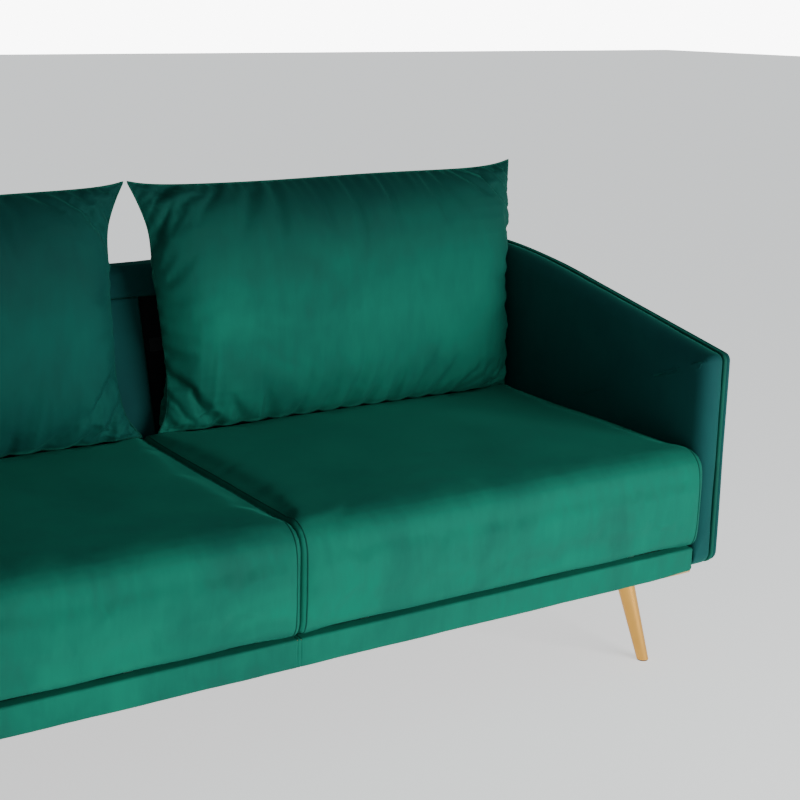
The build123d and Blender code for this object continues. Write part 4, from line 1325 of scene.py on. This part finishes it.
finishes.update({
    # Nylon: black and half matt under the legs, off-white on the spring clips.
    "black_plastic": plastic_material("black_nylon_glide", "141414", 0.45),
    "clip_plastic": plastic_material("white_nylon_clip", "C9C7BF", 0.4),
    # Rubberised tape, duller than nylon, that stops the cushions from sliding.
    "grip_tape": plastic_material("rubberised_grip_tape", "18191A", 0.7),
    # Woven tapes: the zip's in the sofa's green, and the elastic webbing in black.
    "zip_tape": fabric_material("woven_zip_tape", "0B4A3E", 0.6 * MM, 0.8),
    "webbing": fabric_material("woven_elastic_webbing", "1E2022", 2.0 * MM, 0.8),
    # Cut foam is yellowish and pitted, and fibre filling is white and cloudy.
    "foam": fabric_material("cut_polyurethane_foam", "D8CFA6", 1.5 * MM, 0.95),
    "fibre": fabric_material("polyester_fibre", "E6E6E2", 3.0 * MM, 0.95),
    "velvet": velvet,
    "black_lining": lining_cloth,
    "dust_cloth": dust_cloth,
})
for part in frame["record"]["subparts"]:
    for slot in nodes[part["node"]].material_slots:
        slot.material = finishes[part["material_slot"]]
print("finishes", len(finishes))

# %% [markdown]
# Staples hold the dust cover. One staple is modelled, and a small node tree sets it every few centimetres
# along a line of points just inside the cloth's edge, turned to follow the line.

# %% Staples
STAPLE_STEP = 45 * MM
STAPLE_INSET = 9 * MM


def staple_mesh():
    """A wire bridge, 10 mm wide, standing just under the cloth."""
    bridge = bmesh.new()
    bmesh.ops.create_cube(bridge, size=1.0)
    bmesh.ops.scale(bridge, vec=(10 * MM, 1.2 * MM, 0.7 * MM), verts=bridge.verts)
    bmesh.ops.bevel(bridge, geom=bridge.edges[:], offset=0.2 * MM, segments=1, affect="EDGES")
    mesh = bpy.data.meshes.new("staple")
    bridge.to_mesh(mesh)
    bridge.free()
    piece = bpy.data.objects.new("staple", mesh)
    bpy.context.scene.collection.objects.link(piece)
    return piece


def staple_line(height):
    """Corners of the stapled line, as a mesh of edges."""
    x, y_low, y_high = dust_high[0] - STAPLE_INSET, dust_low[1] + STAPLE_INSET, dust_high[1] - STAPLE_INSET
    corners = [(-x, y_low, height), (x, y_low, height), (x, y_high, height), (-x, y_high, height)]
    mesh = bpy.data.meshes.new("staple_line")
    mesh.from_pydata(corners, [(0, 1), (1, 2), (2, 3), (3, 0)], [])
    line = bpy.data.objects.new("dust_cover_staples", mesh)
    bpy.context.scene.collection.objects.link(line)
    return line


def staple_tree(staple, material):
    """A node tree that sets staples along a line, each turned a little off it."""
    tree = bpy.data.node_groups.new("staples_on_a_line", "GeometryNodeTree")
    tree.interface.new_socket("Geometry", in_out="INPUT", socket_type="NodeSocketGeometry")
    spacing = tree.interface.new_socket("Spacing", in_out="INPUT", socket_type="NodeSocketFloat")
    tree.interface.new_socket("Geometry", in_out="OUTPUT", socket_type="NodeSocketGeometry")
    source = tree.nodes.new("NodeGroupInput")
    result = tree.nodes.new("NodeGroupOutput")
    curve = add_node(tree, "GeometryNodeMeshToCurve", {"Mesh": source.outputs["Geometry"]})
    spread = add_node(tree, "GeometryNodeCurveToPoints",
                      {"Curve": curve.outputs[0], "Length": source.outputs["Spacing"]}, mode="LENGTH")
    shape = add_node(tree, "GeometryNodeObjectInfo", {"Object": staple})
    wobble = add_node(tree, "FunctionNodeRandomValue", {"Seed": 4}, data_type="FLOAT_VECTOR")
    wobble.inputs[0].default_value = (0, 0, -0.12)
    wobble.inputs[1].default_value = (0, 0, 0.12)
    along = add_node(tree, "FunctionNodeAlignRotationToVector", {"Vector": spread.outputs["Tangent"]}, axis="X")
    turned = add_node(tree, "FunctionNodeRotateRotation", {"Rotation": along.outputs[0]})
    as_turn = add_node(tree, "FunctionNodeEulerToRotation", {"Euler": wobble.outputs[0]})
    tree.links.new(as_turn.outputs[0], turned.inputs["Rotate By"])
    placed = add_node(tree, "GeometryNodeInstanceOnPoints",
                      {"Points": spread.outputs["Points"], "Instance": shape.outputs["Geometry"],
                       "Rotation": turned.outputs[0]})
    real = add_node(tree, "GeometryNodeRealizeInstances", {"Geometry": placed.outputs[0]})
    painted = add_node(tree, "GeometryNodeSetMaterial", {"Geometry": real.outputs[0], "Material": material})
    tree.links.new(painted.outputs[0], result.inputs[0])
    return tree, spacing.identifier


staple = staple_mesh()
staples = staple_line(dust_low[2] - 0.35 * MM)
tree, spacing = staple_tree(staple, finishes["zinc_steel"])
modifier = staples.modifiers.new("Staples", "NODES")
modifier.node_group = tree
modifier[spacing] = STAPLE_STEP
plain = bpy.data.meshes.new_from_object(staples.evaluated_get(bpy.context.evaluated_depsgraph_get()))
staples.modifiers.clear()
staples.data = plain
bpy.data.objects.remove(staple)
settle(staples, "root", ())
print("staples", len(plain.polygons), "faces")

# %% [markdown]
# The studio's floor is a wide pale sheet with a soft glow of its own, which fills the shadows under the sofa
# as a white studio sweep does.

# %% Floor
def floor_material():
    material, _, shader, _ = new_material("pale_studio_floor")
    shader.inputs["Base Color"].default_value = hex_colour("F8F8F7")
    shader.inputs["Roughness"].default_value = 0.8
    shader.inputs["Emission Color"].default_value = (1, 1, 1, 1)
    shader.inputs["Emission Strength"].default_value = 0.85
    return material


# Half the width of the floor, in metres.
FLOOR = 30.0
floor_mesh = bpy.data.meshes.new("studio_floor")
floor_mesh.from_pydata([(-FLOOR, -FLOOR, 0), (FLOOR, -FLOOR, 0), (FLOOR, FLOOR, 0), (-FLOOR, FLOOR, 0)], [],
                       [(0, 1, 2, 3)])
floor = bpy.data.objects.new("studio_floor", floor_mesh)
bpy.context.scene.collection.objects.link(floor)
floor_mesh.materials.append(floor_material())
print("floor", 2 * FLOOR, "m wide")

# %% [markdown]
# A large soft light stands low at the front right, so that the cushions' fronts are bright and their tops dark,
# and a weak one at the left keeps the arm from going black. The surround looks white, but lights the scene much
# less than it looks: a light path picks a bright surround for the camera and a dim one for everything else.

# %% Lights and surround
def area_light(name, place, target, size, power):
    """A rectangular light at a place, aimed at a target, with its size in metres and power in watts."""
    data = bpy.data.lights.new(name, "AREA")
    data.shape = "RECTANGLE"
    data.size, data.size_y = size
    data.energy = power
    light = bpy.data.objects.new(name, data)
    light.location = place
    light.rotation_euler = (Vector(target) - Vector(place)).to_track_quat("-Z", "Y").to_euler()
    bpy.context.scene.collection.objects.link(light)


area_light("key_softbox", (1.5, -2.9, 0.85), (0.35, 0.0, 0.42), (1.9, 1.1), 84)
area_light("fill_softbox", (-2.2, -2.9, 1.6), (0.0, 0.1, 0.4), (1.8, 1.8), 7)
world = bpy.data.worlds.new("studio_surround")
bpy.context.scene.world = world
world.use_nodes = True
sky = world.node_tree
dim = sky.nodes["Background"]
dim.inputs["Color"].default_value = (0.7, 0.92, 1, 1)
dim.inputs["Strength"].default_value = 0.15
bright = add_node(sky, "ShaderNodeBackground", {"Color": (1, 1, 1, 1), "Strength": 9.0})
ray = add_node(sky, "ShaderNodeLightPath")
mix = add_node(sky, "ShaderNodeMixShader",
               {0: ray.outputs["Is Camera Ray"], 1: dim.outputs[0], 2: bright.outputs[0]})
sky.links.new(mix.outputs[0], sky.nodes["World Output"].inputs["Surface"])
print("lights", len(bpy.data.lights))

# %% [markdown]
# The camera stands at the front left, a little above the cushions, and looks along the sofa to its right arm.
# Its direction is given by three angles. The shift moves the frame without turning the camera.

# %% Camera
YAW, PITCH, ROLL = (math.radians(a) for a in (31.13, 12.4, 0.74))
look = Vector((math.sin(YAW) * math.cos(PITCH), math.cos(YAW) * math.cos(PITCH), -math.sin(PITCH)))
right = Vector((math.cos(YAW), -math.sin(YAW), 0))
above = right.cross(look)
turned_right = right * math.cos(ROLL) + above * math.sin(ROLL)
turned_up = above * math.cos(ROLL) - right * math.sin(ROLL)
camera_data = bpy.data.cameras.new("camera")
camera_data.sensor_width = 36
camera_data.lens = 68.98
camera_data.shift_x = 0.1153
camera_data.shift_y = -0.0786
camera = bpy.data.objects.new("camera", camera_data)
turn = Matrix((turned_right, turned_up, -look)).transposed()
camera.matrix_world = Matrix.Translation((-1.20487, -2.39362, 1.23629)) @ turn.to_4x4()
bpy.context.scene.collection.objects.link(camera)
bpy.context.scene.camera = camera
print("scene ready")
